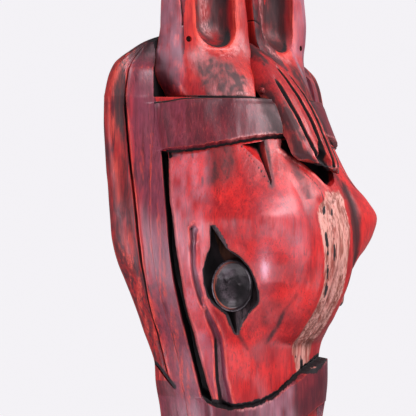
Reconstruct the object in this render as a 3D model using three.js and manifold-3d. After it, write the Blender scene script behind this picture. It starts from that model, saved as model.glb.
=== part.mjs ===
// Carved and painted horse head mask, hollow at the back, hung flat on a wall.
// Millimetres, +Z up, the face looks along -Y. The back lies in the plane y = 0,
// the origin is on the flat back of the poll, on the centre line, and -X is the mask's right side.
// Sections are given as [distance from the centre line, depth in front of the back plane].
import * as THREE from 'three';
import { mergeVertices } from 'three/addons/utils/BufferGeometryUtils.js';
import Module from 'manifold-3d';

const wasm = await Module();
wasm.setup();

// ---------------------------------------------------------------- driving dimensions
const GAP = 0.3;               // clearance between neighbouring pieces
const SHELF_Z = -22;           // ledge above the brow band that carries the ears
const BAND_PROUD = 4;          // brow band, carved proud of the face
const NOSEBAND_PROUD = 6.6;      // noseband, carved proud of the muzzle
const GROOVE_DEEP = 9;         // groove between the cheek strap and the face
const MANE_CUT_DEEP = 2.2;     // long cut along the mane
const WALL_K = 0.8;            // the hollow is the outer section scaled by this
const HOLLOW_TOP_Z = -58, HOLLOW_END_Z = -237;
const EYE_X = 56.5, EYE_D = 66.5, EYE_Z = -138;  // middle of the eye on the cheek
const EYE_FLOOR = 8, EYE_TILT = Math.tan(THREE.MathUtils.degToRad(15));
const DISC_RX = 13.2, DISC_RZ = 16, DISC_T = 5, DISC_U = 2.5, DISC_V = -3.4;
const EAR_DOWEL_R = 4.5, EAR_DOWEL_Z0 = -40, EAR_DOWEL_Z1 = -5;
const EAR_DOWELS = [[31, 33], [50, 23]];
const BOARD_DOWEL_R = 4;
const BOARD_DOWELS = [[62, -40, 6.5, 29], [40, -240, 8, 31]];  // x, z, from depth, to depth
const NAIL_X = 53.5, NAIL_Z = 15.7, NAIL_R = 1.1, NAIL_HEAD_R = 1.7;
const POCKET_W = 30, POCKET_D = 6.6, POCKET_Z0 = -64, POCKET_Z1 = -10;
const PLATE_W = 16, PLATE_T = 1.2, PLATE_Z0 = -38, PLATE_Z1 = -13;
const RING_Z = -41.6, RING_D = 3.3, RING_WIRE_R = 1.1, RING_W = 18, RING_DROP = 14;
const SCREW_Z = [-19, -31], SCREW_R = 1.6, SCREW_HEAD_R = 3.2, SCREW_LEN = 16;

// mating plane of the mane boards: depth = a + b |x| + c z
const SEAM_A = -3.5, SEAM_B = 0.3, SEAM_C = -0.05;
const BOARD_END_Z = -247;

// height, then back edge, mane cut, strap edge, groove edge, cheek line, eye line, brow line, centre
const ROWS = [
  [-22.5, [101.8, 0], [93.2, 9.8], [77.8, 20.2], [74.3, 22.7], [62.4, 34.6], [48.3, 46.7], [30.9, 59.1], [0, 62]],
  [-37.7, [102.1, 0], [92.2, 10.8], [77.5, 22.5], [74.3, 25.7], [63.7, 36.8], [50, 51], [33.1, 64.9], [0, 72]],
  [-56.6, [100.9, 0], [92.6, 13.4], [78.8, 28.2], [75.8, 31.7], [67.7, 42.3], [54.2, 58.8], [36.1, 72.9], [0, 80]],
  [-69.2, [99.9, 0], [92.7, 15.3], [80.6, 31.4], [78.1, 34.9], [71.4, 46.6], [57.6, 63.9], [40.1, 78.9], [0, 90.5]],
  [-78.6, [98.6, 0], [92.3, 16.7], [81.9, 33.6], [80, 37], [73.4, 49.1], [60.1, 67.9], [44, 84], [0, 97.4]],
  [-88.1, [97.8, 0], [92.5, 18.5], [82.8, 35.7], [81.4, 39.1], [75.3, 51.2], [62.9, 71.6], [49.9, 89.6], [0, 102.4]],
  [-100, [96.6, 0], [91.8, 19.7], [83.8, 38.2], [81.9, 42.1], [76.9, 53.1], [66.2, 75.8], [54.5, 94.1], [0, 106.2]],
  [-110.1, [95.6, 0], [90.9, 20.1], [83.2, 38.8], [80.8, 42.7], [75.9, 53.1], [64.6, 74.4], [52.7, 92.3], [0, 108.2]],
  [-119.5, [93.3, 0], [89.6, 20.4], [82.1, 38.9], [79.3, 42.7], [73.7, 52.3], [62.1, 71.9], [49, 88.8], [0, 108.8]],
  [-128.9, [89.6, 0], [87.9, 20.1], [80.5, 39], [77.3, 43.2], [72.4, 51.1], [59, 69], [42.2, 84.8], [0, 107.7]],
  [-138.4, [84.4, 0], [85, 19.5], [78.3, 38.7], [74.9, 43.1], [69.9, 50.4], [55.8, 65.7], [35.7, 81.3], [0, 105.3]],
  [-150.9, [77.7, 0], [79.7, 17.3], [73.8, 37.7], [71.1, 41.9], [65.1, 49.9], [51.8, 64.2], [32.8, 79.7], [0, 100.5]],
  [-163.5, [71.5, 0], [73.5, 15], [68.7, 36.3], [65.9, 41.1], [58, 50.5], [46.5, 62.5], [29.6, 77.9], [0, 92.6]],
  [-173, [67.3, 0], [68.3, 13.7], [64.4, 35.6], [61.4, 40.6], [52.5, 50.5], [41.7, 61.3], [26.1, 75.4], [0, 85]],
  [-182.4, [62.5, 0], [63.8, 12.2], [60.3, 34.7], [57.3, 39.2], [48.3, 48.7], [36.9, 60.1], [22.7, 72.8], [0, 77.4]],
  [-195, [57.5, 0], [59.5, 12], [56.1, 34.9], [52.6, 39.4], [45.6, 46.9], [31.9, 60], [21.3, 72.2], [0, 77]],
  [-204.4, [56.9, 0], [56.9, 13.1], [53, 35], [49.3, 39.7], [43.6, 46.4], [28.6, 60.4], [20.5, 72.3], [0, 77.5]],
  [-223.9, [52.7, 0], [51.8, 15.2], [47, 35], [42.8, 40.2], [36.6, 48.4], [26.3, 62.7], [19.8, 72.4], [0, 77.5]],
  [-245, [49.5, 0], [49, 15.2], [45, 33], [42, 39], [37, 48], [28, 62], [20, 73], [0, 78]],
  [-258, [47, 0], [47.5, 15], [46, 31], [44, 39], [40, 49], [31.5, 63.5], [21, 75], [0, 80]],
  [-272, [45, 0], [46.5, 14.5], [46, 30], [44.5, 38], [41.5, 49], [33, 63.5], [21, 75], [0, 79]],
  [-284, [41, 0], [43, 13.5], [43, 28], [42, 35], [39, 46], [31.5, 60], [20, 71.5], [0, 75.5]],
  [-294, [34.5, 0], [36, 12], [36.5, 25], [35.5, 31], [33, 40], [26.5, 51.5], [17, 61], [0, 65]],
  [-302, [25, 4], [26, 11], [26.5, 20], [26, 25], [24, 31], [19, 39], [12, 45], [0, 48]],
];
// the crest behind the ears: height, half width, depth of the flat part, depth of the shoulder, shoulder's distance out
const CREST = [[-22, 101.8, 8, 20.2, 77.8], [-10, 98.5, 8, 18.4, 76.2], [-4, 95.5, 8, 16.8, 74.6], [0, 92.5, 8, 13.6, 70.6], [4, 87, 8, 11.2, 67.4],
  [8, 80, 8, 9.6, 66.3], [14.5, 67.5, 7.4, 7.9, 64.9], [19, 54, 6.5, 6.5, 51.8], [23, 36, 4.5, 4.5, 34.4]];
// brow band and noseband edges, by column: strap, groove, groove edge, cheek, eye, brow, nose corner, centre
const BAND_TOP = [-26.4, -26.2, -26, -23.6, -22.9, -22.8, -22.8, -22.8];
const BAND_END = [-56.4, -56.4, -56.4, -55.6, -52.5, -48.7, -47, -47];
// the noseband was carved a little higher on the left half of the nose
const NOSE_TOP = { right: [-215, -217, -219, -221.5, -219, -213, -205.5, -198], left: [-215, -217, -219, -220, -210, -191, -193, -198] };
const NOSE_END = { right: [-245, -245, -245, -247, -245, -240, -232, -226], left: [-245, -245, -245, -247, -242, -219, -220, -226] };

// ear section rows: height, then inner back, outer back, outer front, outer rim, three in the hollow, inner rim, inner front
const EAR = [
  [-21.7, [16, 9], [57, 9], [59.5, 31], [50, 43], [42, 48], [34, 52], [26, 55], [20, 55.5], [16, 50]],
  [-10, [10, 8.3], [63.1, 8.3], [61, 27], [49, 38], [41, 43], [33, 47], [25, 49.5], [17, 50], [11, 46]],
  [-4, [7.6, 8.3], [65.2, 8.3], [60.7, 25.9], [48.4, 35.7], [40.4, 40.1], [32.4, 43.5], [24.4, 45.1], [15.8, 45.6], [9.3, 43.1]],
  [0, [6, 8.3], [64.7, 8.3], [60.5, 25], [48, 34], [40, 38], [32, 41], [24, 42], [15, 42.5], [8, 41]],
  [8, [4, 8.3], [64.4, 8.3], [60.5, 24.5], [46.5, 31], [39, 33], [30, 34.5], [22, 35.5], [14, 37], [5, 37.5]],
  [12, [3.4, 8.3], [63, 8.3], [60.8, 24.6], [46, 30], [38, 27], [30, 26], [22, 28], [13.5, 35], [4, 36]],
  [20, [2.6, 8.3], [62, 8.3], [61.3, 25.5], [46, 29], [37, 19], [29, 17.5], [21, 20], [12.5, 33], [3, 33.5]],
  [30, [2.6, 8.3], [62, 8.3], [61.5, 26], [46, 28.5], [37, 15.5], [28.5, 14.2], [20, 16], [12.3, 31.5], [2.8, 32]],
  [45, [3, 8.3], [61, 8.3], [60.5, 25.5], [47, 28], [37, 15], [29, 13.8], [20, 15.8], [11.5, 30], [3, 30]],
  [60, [5, 8.3], [59, 8.3], [58.5, 24.5], [46.5, 27], [37, 15], [29, 14], [21, 15.5], [12.5, 28.5], [4.8, 28.5]],
  [75, [8.5, 8.3], [55.5, 8.3], [55, 23], [44.5, 25.5], [37, 15], [30, 14.2], [23, 16], [15.5, 26.5], [8.3, 26.5]],
  [90, [14, 8.6], [50, 8.6], [49.5, 21.5], [42, 23.5], [36.5, 16.2], [31, 15.4], [25.5, 17.2], [20, 24.3], [14, 24.3]],
  [103, [21, 9.2], [43.5, 9.2], [43, 19.8], [38.5, 21.5], [35.5, 19], [32, 18.3], [28.5, 19.5], [25.5, 22], [21, 22]],
  [112, [26, 10], [38.5, 10], [38.2, 18], [36, 19.3], [34.5, 19.4], [32.3, 19.4], [30, 19.5], [28.3, 19.7], [26, 19]],
  [118, [30, 11.4], [34.6, 11.4], [34.6, 14.6], [33.8, 15.6], [33.1, 15.8], [32.4, 15.9], [31.7, 15.8], [31, 15.6], [30, 15]],
];

// forelock rows: height at its left edge and at its right edge, left and right edge, depth of the front and of the back
const FORELOCK = [
  [16, 16, -2.6, 4, 30, 24], [9.5, 9.5, -6, 8, 40.5, 26], [3.8, 3.8, -9, 13.5, 48, 28], [-1, -1, -11.5, 16.5, 53, 31],
  [-9.4, -9.4, -14, 19, 61, 37], [-20, -20, -16, 20.5, 70.5, 48], [-28, -28, -16.6, 20.6, 76.5, 57], [-36, -37, -17, 20.5, 82.5, 64],
  [-45, -47, -17.2, 20.3, 88, 71], [-51, -56, -17.2, 20, 92.5, 80], [-57.5, -65, -17, 18.5, 97.3, 88], [-62.5, -72, -14, 15, 99.5, 93],
];

// ---------------------------------------------------------------- small helpers
function lerp(a, b, t) { return a + (b - a) * t; }
function sample(rows, z) {
  // rows run downwards in z: the section at a height, point by point
  if (z >= rows[0][0]) return rows[0].slice(1).map((p) => p.slice());
  for (let i = 1; i < rows.length; i++) {
    if (z >= rows[i][0]) {
      const t = (rows[i - 1][0] - z) / (rows[i - 1][0] - rows[i][0]);
      return rows[i].slice(1).map((p, k) => [lerp(rows[i - 1][k + 1][0], p[0], t), lerp(rows[i - 1][k + 1][1], p[1], t)]);
    }
  }
  return rows[rows.length - 1].slice(1).map((p) => p.slice());
}
function geometry(points, faces) {
  const g = new THREE.BufferGeometry();
  g.setAttribute('position', new THREE.BufferAttribute(new Float32Array(points.flat()), 3));
  g.setIndex(faces.flat());
  return g;
}
// a closed solid through rings of equal length, each ring [[x, y, z], ...], capped by a fan from the ring's middle
function loft(rings) {
  const n = rings[0].length, pts = rings.flat(), faces = [];
  for (let r = 0; r + 1 < rings.length; r++) {
    for (let k = 0; k < n; k++) {
      const a = r * n + k, b = r * n + (k + 1) % n, c = a + n, d = b + n;
      faces.push([a, b, d], [a, d, c]);
    }
  }
  for (const [ring, first, flip] of [[rings[0], 0, true], [rings[rings.length - 1], (rings.length - 1) * n, false]]) {
    const mid = [0, 1, 2].map((i) => ring.reduce((s, p) => s + p[i], 0) / n);
    const m = pts.push(mid) - 1;
    for (let k = 0; k < n; k++) {
      const a = first + k, b = first + (k + 1) % n;
      faces.push(flip ? [m, b, a] : [m, a, b]);
    }
  }
  return outward(geometry(pts, faces));
}
function volume(g) {
  const p = g.attributes.position, ix = g.index;
  const a = new THREE.Vector3(), b = new THREE.Vector3(), c = new THREE.Vector3();
  let v = 0;
  for (let i = 0; i < ix.count; i += 3) {
    a.fromBufferAttribute(p, ix.getX(i)); b.fromBufferAttribute(p, ix.getX(i + 1)); c.fromBufferAttribute(p, ix.getX(i + 2));
    v += a.dot(b.cross(c));
  }
  return v;
}
function outward(g) {
  if (volume(g) < 0) {
    const ix = g.index.array;
    for (let i = 0; i < ix.length; i += 3) { const t = ix[i]; ix[i] = ix[i + 1]; ix[i + 1] = t; }
  }
  return g;
}
function welded(g) {
  const h = g.clone();
  h.deleteAttribute('normal');
  h.deleteAttribute('uv');
  return mergeVertices(h, 1e-4);
}
function solid(g) {
  const h = welded(g);
  return new wasm.Manifold(new wasm.Mesh({
    numProp: 3, vertProperties: new Float32Array(h.attributes.position.array), triVerts: new Uint32Array(h.index.array),
  }));
}
function back(m) {
  const r = m.getMesh(), g = new THREE.BufferGeometry(), out = new Float32Array(r.numVert * 3);
  for (let i = 0; i < r.numVert; i++) for (let k = 0; k < 3; k++) out[i * 3 + k] = r.vertProperties[i * r.numProp + k];
  g.setAttribute('position', new THREE.BufferAttribute(out, 3));
  g.setIndex(Array.from(r.triVerts));
  return g;
}
// the piece without the loose crumbs that a cut leaves
function whole(m) {
  return m.decompose().reduce((a, b) => (b.volume() > a.volume() ? b : a));
}
function box(x0, x1, y0, y1, z0, z1) {
  const g = new THREE.BoxGeometry(x1 - x0, y1 - y0, z1 - z0);
  g.translate((x0 + x1) / 2, (y0 + y1) / 2, (z0 + z1) / 2);
  return g;
}
// a round bar along Y from depth d0 to depth d1
function barY(r, x, z, d0, d1, sides = 14) {
  const g = new THREE.CylinderGeometry(r, r, d1 - d0, sides);
  g.translate(x, -(d0 + d1) / 2, z);
  return g;
}
function barZ(r, x, d, z0, z1, sides = 14) {
  const g = new THREE.CylinderGeometry(r, r, z1 - z0, sides);
  g.rotateX(Math.PI / 2);
  g.translate(x, -d, (z0 + z1) / 2);
  return g;
}
// a flat outline [[x, z], ...] cut through along Y, from depth d0 to depth d1
function prismY(outline, d0, d1) {
  return loft([outline.map(([x, z]) => [x, -d0, z]), outline.map(([x, z]) => [x, -d1, z])]);
}
function mirrored(g) {
  const h = g.clone().scale(-1, 1, 1);
  const ix = h.index.array;
  for (let i = 0; i < ix.length; i += 3) { const t = ix[i]; ix[i] = ix[i + 1]; ix[i + 1] = t; }
  return h;
}

// ---------------------------------------------------------------- the carved block
// columns of one half: back edge, lip, mane cut, mid strap, strap edge, groove, groove edge, cheek, eye, brow, nose corner, centre
const COLS = 12;
function halfSection(z, grooveOn, bandOn, noseOn) {
  const [A, B, C, D, E, F, G, I] = sample(ROWS, z);
  const lip = [Math.max(A[0] + 0.4, lerp(A[0], B[0], 0.45)), A[1] + 4.5];
  const m = Math.hypot(1, 1);
  const mid = [lerp(B[0], C[0], 0.5), lerp(B[1], C[1], 0.5)];
  mid[0] += 0.5; mid[1] += 0.5;
  const gr = [(C[0] + D[0]) / 2, (C[1] + D[1]) / 2];
  if (grooveOn) { gr[0] -= GROOVE_DEEP / m; gr[1] -= GROOVE_DEEP / m; }
  const cut = z < -210 ? 0 : MANE_CUT_DEEP;
  const Bc = [B[0] - cut / m, B[1] - cut / m];
  const H = [Math.min(13, G[0] * 0.72), I[1] - 1.2];
  const out = [A, lip, Bc, mid, C.slice(), gr, D.slice(), E.slice(), F.slice(), G.slice(), H, I.slice()];
  const proud = bandOn ? BAND_PROUD : noseOn ? NOSEBAND_PROUD : 0;
  if (proud) {
    out[4][0] += 0.6; out[4][1] += 0.6;
    out[5][0] += 2.4; out[5][1] += 1.8;
    for (let k = 6; k < COLS; k++) {
      const dir = [[0.78, 0.62], [0.74, 0.67], [0.6, 0.8], [0.45, 0.89], [0.15, 0.99], [0, 1]][k - 6];
      const h = noseOn ? [4.3, 4.8, 5.8, proud, proud, proud][k - 6] : proud;
      out[k][0] += dir[0] * h; out[k][1] += dir[1] * h;
    }
  }
  return out;
}
function crestSection(w, flat, sh, cx) {
  // flat behind the ear, and a shoulder outside it where the crest is wide enough
  const seat = Math.min(cx - 1.5, Math.max(65, cx * 0.9)), bx = lerp(w, cx, 0.358), bd = sh * 0.485, c = MANE_CUT_DEEP / Math.SQRT2 * Math.min(1, sh / 12);
  return [[w, 0], [w + 0.4, Math.min(4.5, sh * 0.3)], [bx - c, bd - c], [(bx + cx) / 2 + 0.4, (bd + sh) / 2 + 0.4], [cx, sh],
    [seat, flat], [seat * 0.96, flat], [seat * 0.8, flat], [seat * 0.64, flat], [seat * 0.4, flat], [seat * 0.18, flat], [0, flat]];
}
// both halves of a section; the left half lies on +X
function ringOf(left, right, zLeft, zRight) {
  const pts = [];
  left.forEach(([x, d], k) => pts.push([x, -d, zLeft(k)]));
  for (let k = COLS - 2; k >= 0; k--) pts.push([-right[k][0], -right[k][1], zRight(k)]);
  return pts;
}
function outerBlock() {
  const rings = [];
  for (const [z, w, flat, sh, cx] of CREST.slice().reverse()) {
    const half = crestSection(w, flat, sh, cx);
    rings.push(ringOf(half, half, () => z, () => z));
  }
  // full sections, each column at its own height; the band edges follow the carved lines
  const col = (line) => (k) => (k <= 3 ? line[0] : line[k - 4]);
  const push = (zL, groove, band, nose, zR = zL) => {
    const half = (zOf) => Array.from({ length: COLS }, (_, k) => halfSection(zOf(k), groove, band, nose)[k]);
    rings.push(ringOf(half(zL), half(zR), zL, zR));
  };
  const shift = (line, s) => line.map((v) => v + s);
  push(() => SHELF_Z - 0.3, false, false, false);
  push(col(shift(BAND_TOP, 0.2)), false, false, false);
  push(col(shift(BAND_TOP, -0.8)), false, true, false);
  push(col(BAND_TOP.map((v, i) => lerp(v, BAND_END[i], 0.5))), false, true, false);
  push(col(shift(BAND_END, 0.3)), false, true, false);
  push(col(shift(BAND_END, -1)), true, false, false);
  for (const z of [-69.2, -78.6, -88.1, -100, -110.1, -119.5, -128.9, -138.4, -150.9, -163.5, -173]) push(() => z, true, false, false);
  const T = NOSE_TOP, E = NOSE_END, both = (f, groove, nose) => push(col(f('left')), groove, false, nose, col(f('right')));
  both((s) => T[s].map((v) => lerp(-173, v, 0.5)), true, false);
  both((s) => shift(T[s], 1), true, false);
  both((s) => shift(T[s], -0.5), false, true);
  both((s) => T[s].map((v, i) => lerp(v, E[s][i], 0.5)), false, true);
  both((s) => shift(E[s], 0.3), false, true);
  both((s) => shift(E[s], -1), false, false);
  for (const z of [-258, -272, -284, -294, -302]) push(() => z, false, false, false);
  return loft(rings);
}
function hollow() {
  const rows = [[HOLLOW_TOP_Z, 0.42], [-62, 0.56], [-70, 0.68], [-82, 0.76], [-100, WALL_K], [-119.5, WALL_K], [-138.4, WALL_K], [-150.9, WALL_K], [-163.5, WALL_K],
    [-182.4, 0.79], [-200, 0.75], [-216, 0.66], [-228, 0.5], [HOLLOW_END_Z, 0.3]];
  const rings = rows.map(([z, k]) => {
    const [A, B, C, D, E, F, G, I] = sample(ROWS, z);
    const half = [[A[0] * k, -6], [A[0] * k, 0], [B[0] * k, B[1] * k], [((C[0] + D[0]) / 2) * k, ((C[1] + D[1]) / 2) * k], [E[0] * k, E[1] * k], [F[0] * k, F[1] * k], [G[0] * k * 0.98, G[1] * k * 0.98], [0, I[1] * k * 0.95]];
    const pts = half.map(([x, d]) => [x, -d, z]);
    for (let i = half.length - 2; i >= 0; i--) pts.push([-half[i][0], -half[i][1], z]);
    return pts;
  });
  return loft(rings);
}

// ---------------------------------------------------------------- the eye, on the +X side; the other is its mirror image
// local axes on the cheek: u towards the centre line, n outwards
const EU = [-Math.SQRT1_2, Math.SQRT1_2], EN = [Math.SQRT1_2, Math.SQRT1_2];
function eyePoint(u, n, dz) {
  return [EYE_X + EU[0] * u + EN[0] * n, -(EYE_D + EU[1] * u + EN[1] * n), EYE_Z + dz];
}
const LIDS = [[-11.2, 34.4], [-6.3, 27], [-1.3, 19.5], [6.7, 14.5], [12.9, 7.5], [16.4, -0.6], [18.7, -8.2], [18.9, -14.5], [13.8, -20.8], [9.4, -26.4],
  [4.2, -34], [0.9, -28.9], [-1.6, -22], [-8.8, -16.4], [-13.2, -10.4], [-15.5, -2.2], [-15.7, 6.3], [-14, 13.8], [-11.3, 20.4]];
function eyeSocket() {
  const top = LIDS.map(([u, v]) => eyePoint(u, 26, v));
  const floor = LIDS.map(([u, v]) => eyePoint(u, -(EYE_FLOOR + EYE_TILT * u), v));
  return loft([top, floor]);
}
const SLOT_UP = [[71.8, -104.5], [70.6, -104.5], [62, -121.5], [69.8, -119.6]];
const SLOT_DOWN = [[52, -158.5], [44.8, -156.5], [43, -172.5], [44.2, -172.5]];
function eyeDisc() {
  const n = 28, rings = [];
  const prof = [[1, 0.6], [1, DISC_T - 0.6], [0.94, DISC_T], [0.86, DISC_T - 0.6], [0.6, DISC_T - 2.3], [0.25, DISC_T - 3.1]];  // share of the radius, height off the seat
  prof.forEach(([s, h]) => {
    const ring = [];
    for (let k = 0; k < n; k++) {
      const a = (k / n) * Math.PI * 2, u = Math.cos(a) * DISC_RX * s + DISC_U, v = Math.sin(a) * DISC_RZ * s + DISC_V;
      ring.push(eyePoint(u, -(EYE_FLOOR + EYE_TILT * u) + h, v));
    }
    rings.push(ring);
  });
  return loft(rings);
}

// ---------------------------------------------------------------- forelock
function forelock(grow, tipGrow) {
  const rings = FORELOCK.map(([zl, zr, xl, xr, df, db], i) => {
    const tip = i > 8 ? tipGrow : grow;
    const L = xl - (i > 8 ? tip : grow), R = xr + (i > 8 ? tip * 0.5 : grow), F = df + grow, Bk = db - tip, w = R - L;
    const at = (s, d) => {
      let z = lerp(zl, zr, s);
      if (i === 0) z += grow;
      if (i === FORELOCK.length - 1) z -= tip;
      return [L + w * s, -d, z];
    };
    const thick = F - Bk;
    return [at(0.04, Bk), at(0, Bk + thick * 0.35), at(0.05, F - thick * 0.28), at(0.2, F - thick * 0.08), at(0.5, F), at(0.8, F - thick * 0.02), at(0.95, F - thick * 0.2), at(1, Bk + thick * 0.4), at(0.96, Bk), at(0.5, Bk)];
  });
  return loft(rings);
}

// ---------------------------------------------------------------- build the wooden pieces
let outer = solid(outerBlock());
const inside = solid(hollow());
const eyeCut = solid(eyeSocket());
const eyeCutM = solid(mirrored(eyeSocket()));
const lockCut = solid(forelock(GAP, 1.2));

let block = outer.subtract(inside);
const slots = [prismY(SLOT_UP, 18, 130), prismY(SLOT_DOWN, 22, 130)];
block = block.subtract(eyeCut).subtract(eyeCutM).subtract(lockCut);
for (const s of slots) block = block.subtract(solid(s)).subtract(solid(mirrored(s)));
// a leaning V cut under the brow band, above each eye: two facets that run out at a tip
const chip = (side) => {
  const left = [45.5, 65.8, -53.2], right = [33.2, 74.8, -50.6], tip = [38.2, 85.8, -78.6], apex = [29.6, 63, -50.8], out = [Math.SQRT1_2, Math.SQRT1_2, 0];
  const turn = (v) => [side * v[0], -v[1], v[2]], plus = (v, w, k) => v.map((c, i) => c + w[i] * k), far = (v) => v.map((c, i) => c + (c - apex[i]) * 0.7);
  return loft([[turn(far(left)), turn(far(right)), turn(plus(tip, out, 8))],
    [turn([apex[0] + 0.25, apex[1] - 0.25, apex[2]]), turn([apex[0] - 0.25, apex[1] + 0.25, apex[2]]), turn(plus(tip, out, -0.4))]]);
};
// the knife cut that ends the mane: steep below, easy above, short of the back edge
const maneEnd = (side) => loft([[57, 0.7, -193.2, 1], [58.2, 2.2, -195, 3.4], [58.6, 5.5, -197.6, 5], [58.2, 10, -202.2, 4.6], [56.2, 14.6, -207.4, 2.8], [54.6, 16.6, -209.8, 0.3]]
  .map(([x, d, z, deep]) => {
    const up = deep > 1 ? 5.4 : 1.5, down = deep > 1 ? 2 : 0.5;
    return [[x - 0.97 * deep, d - 0.24 * deep, z], [x + 6.8, d + 1.7, z + up], [x + 6.8, d + 1.7, z - down]].map(([a, b, c]) => [side * a, -b, c]);
  }));
for (const s of [-1, 1]) block = block.subtract(solid(chip(s))).subtract(solid(maneEnd(s)));
// the deep cut under the tips of the forelock
const UNDERCUT = [[-21.5, -54.5], [-11, -63.6], [-5, -70.4], [0, -78.4], [5, -80], [12, -77], [17, -70], [12, -58], [-4, -49], [-18, -49]];
block = block.subtract(solid(loft([UNDERCUT.map(([x, z]) => [x, -125, z]), UNDERCUT.map(([x, z]) => [x * 0.9, -(68.5 + (-50 - z) * 0.7), z * 0.97 - 1.8])])));
// nostrils and mouth line
const nostril = (side) => {
  const g = new THREE.SphereGeometry(8, 14, 10);
  g.scale(0.75, 0.8, 1.15);
  g.rotateY(side * 0.5);
  g.translate(side * 24, -75, -262);
  return g;
};
for (const s of [-1, 1]) block = block.subtract(solid(nostril(s)));
block = block.subtract(solid(box(-60, 60, -100, -38, -286.2, -283.6)).subtract(solid(box(-60, 60, -38.5, -37, -290, -280))).subtract(
  solid(loft([0, 1].map((i) => [[-37, -30], [-34, -50], [-25, -61], [-12, -68], [12, -68], [25, -61], [34, -50], [37, -30]].map(([x, y]) => [x, y, i ? -290 : -280]))))));
// hanger pocket in the back of the poll
block = block.subtract(solid(box(-POCKET_W / 2, POCKET_W / 2, -POCKET_D, 5, POCKET_Z0, POCKET_Z1)));

// the mane boards are the outer back corners of the block, outside an inclined line and behind the mating plane
function boardCutter(side, grow) {
  const seam = (x, z) => SEAM_A + SEAM_B * x + SEAM_C * z;
  const xin = (z) => 46 + (z + 60) * 0.11;
  const ring = (z, full) => {
    const x0 = xin(z) - grow, x1 = 125;
    return [[side * x0, 10, z], [side * x1, 10, z], [side * x1, -(full ? 70 : seam(x1, z) + grow), z], [side * x0, -(full ? 70 : seam(x0, z) + grow), z]];
  };
  // above the ledge the whole crest belongs to the board
  return loft([ring(40, true), ring(SHELF_Z + 0.4 - grow, true), ring(SHELF_Z + 0.2 - grow, false), ring(BOARD_END_Z - grow, false)]);
}
const boards = {};
for (const [name, side] of [['right', -1], ['left', 1]]) {
  boards[name] = block.intersect(solid(boardCutter(side, 0)));
}
for (const side of [-1, 1]) block = block.subtract(solid(boardCutter(side, GAP)));

// ears
function earSolid() {
  return loft(EAR.map((row) => {
    const z = row[0];
    return row.slice(1).map(([x, d]) => [x, -d, z]);
  }));
}
let earL = solid(earSolid()).subtract(lockCut);
let earR = solid(mirrored(earSolid())).subtract(lockCut);

// dowel and nail holes
const hole = EAR_DOWEL_R + GAP;
for (const side of [-1, 1]) {
  for (const [x, d] of EAR_DOWELS) {
    const h = solid(barZ(hole, side * x, d, EAR_DOWEL_Z0 - 0.6, EAR_DOWEL_Z1 + 0.6));
    block = block.subtract(h);
    if (side > 0) earL = earL.subtract(h); else earR = earR.subtract(h);
  }
  const key = side > 0 ? 'left' : 'right';
  for (const [x, z, d0, d1] of BOARD_DOWELS) {
    const h = solid(barY(BOARD_DOWEL_R + GAP, side * x, z, d0 - 0.6, d1 + 0.6));
    block = block.subtract(h);
    boards[key] = boards[key].subtract(h);
  }
  const nh = solid(barY(NAIL_R + GAP, side * NAIL_X, NAIL_Z, 1.6, 60, 10)).add(solid(barY(NAIL_HEAD_R + GAP, side * NAIL_X, NAIL_Z, 25.6, 60, 12)));
  boards[key] = boards[key].subtract(nh);
  block = block.subtract(nh);
  if (side > 0) earL = earL.subtract(nh); else earR = earR.subtract(nh);
}
for (const z of SCREW_Z) block = block.subtract(solid(barY(SCREW_R + GAP, 0, z, 4, SCREW_LEN + 6, 12)));

// forelock peg, square to the brow
const PEG = { x: 2, z: -36, d0: 48, d1: 76, r: 3 };
const pegHole = solid(barY(PEG.r + GAP, PEG.x, PEG.z, PEG.d0 - 0.6, PEG.d1 + 0.6));
block = block.subtract(pegHole);
const lock = solid(forelock(0, 0)).subtract(pegHole);

// ---------------------------------------------------------------- hanger
const plateDepth0 = POCKET_D - GAP - PLATE_T;   // outer face of the plate
let plate = solid(box(-PLATE_W / 2, PLATE_W / 2, -(plateDepth0 + PLATE_T), -plateDepth0, PLATE_Z0, PLATE_Z1));
plate = plate.add(solid(box(-5, 5, -(plateDepth0 + PLATE_T), -plateDepth0, RING_Z, PLATE_Z0 + 1)));
const barrel = new THREE.LatheGeometry([[1.5, -5], [2.3, -5], [2.3, 5], [1.5, 5], [1.5, -5]].map(([r, h]) => new THREE.Vector2(r, h)), 16);
barrel.rotateZ(Math.PI / 2);
barrel.translate(0, -RING_D - 0.2, RING_Z);
plate = plate.add(solid(outward(welded(barrel))));
const bore = new THREE.CylinderGeometry(1.5, 1.5, 14, 16);
bore.rotateZ(Math.PI / 2);
bore.translate(0, -RING_D - 0.2, RING_Z);
plate = plate.subtract(solid(bore));
for (const z of SCREW_Z) plate = plate.subtract(solid(barY(SCREW_R + GAP, 0, z, 0, 12, 12)));

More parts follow.
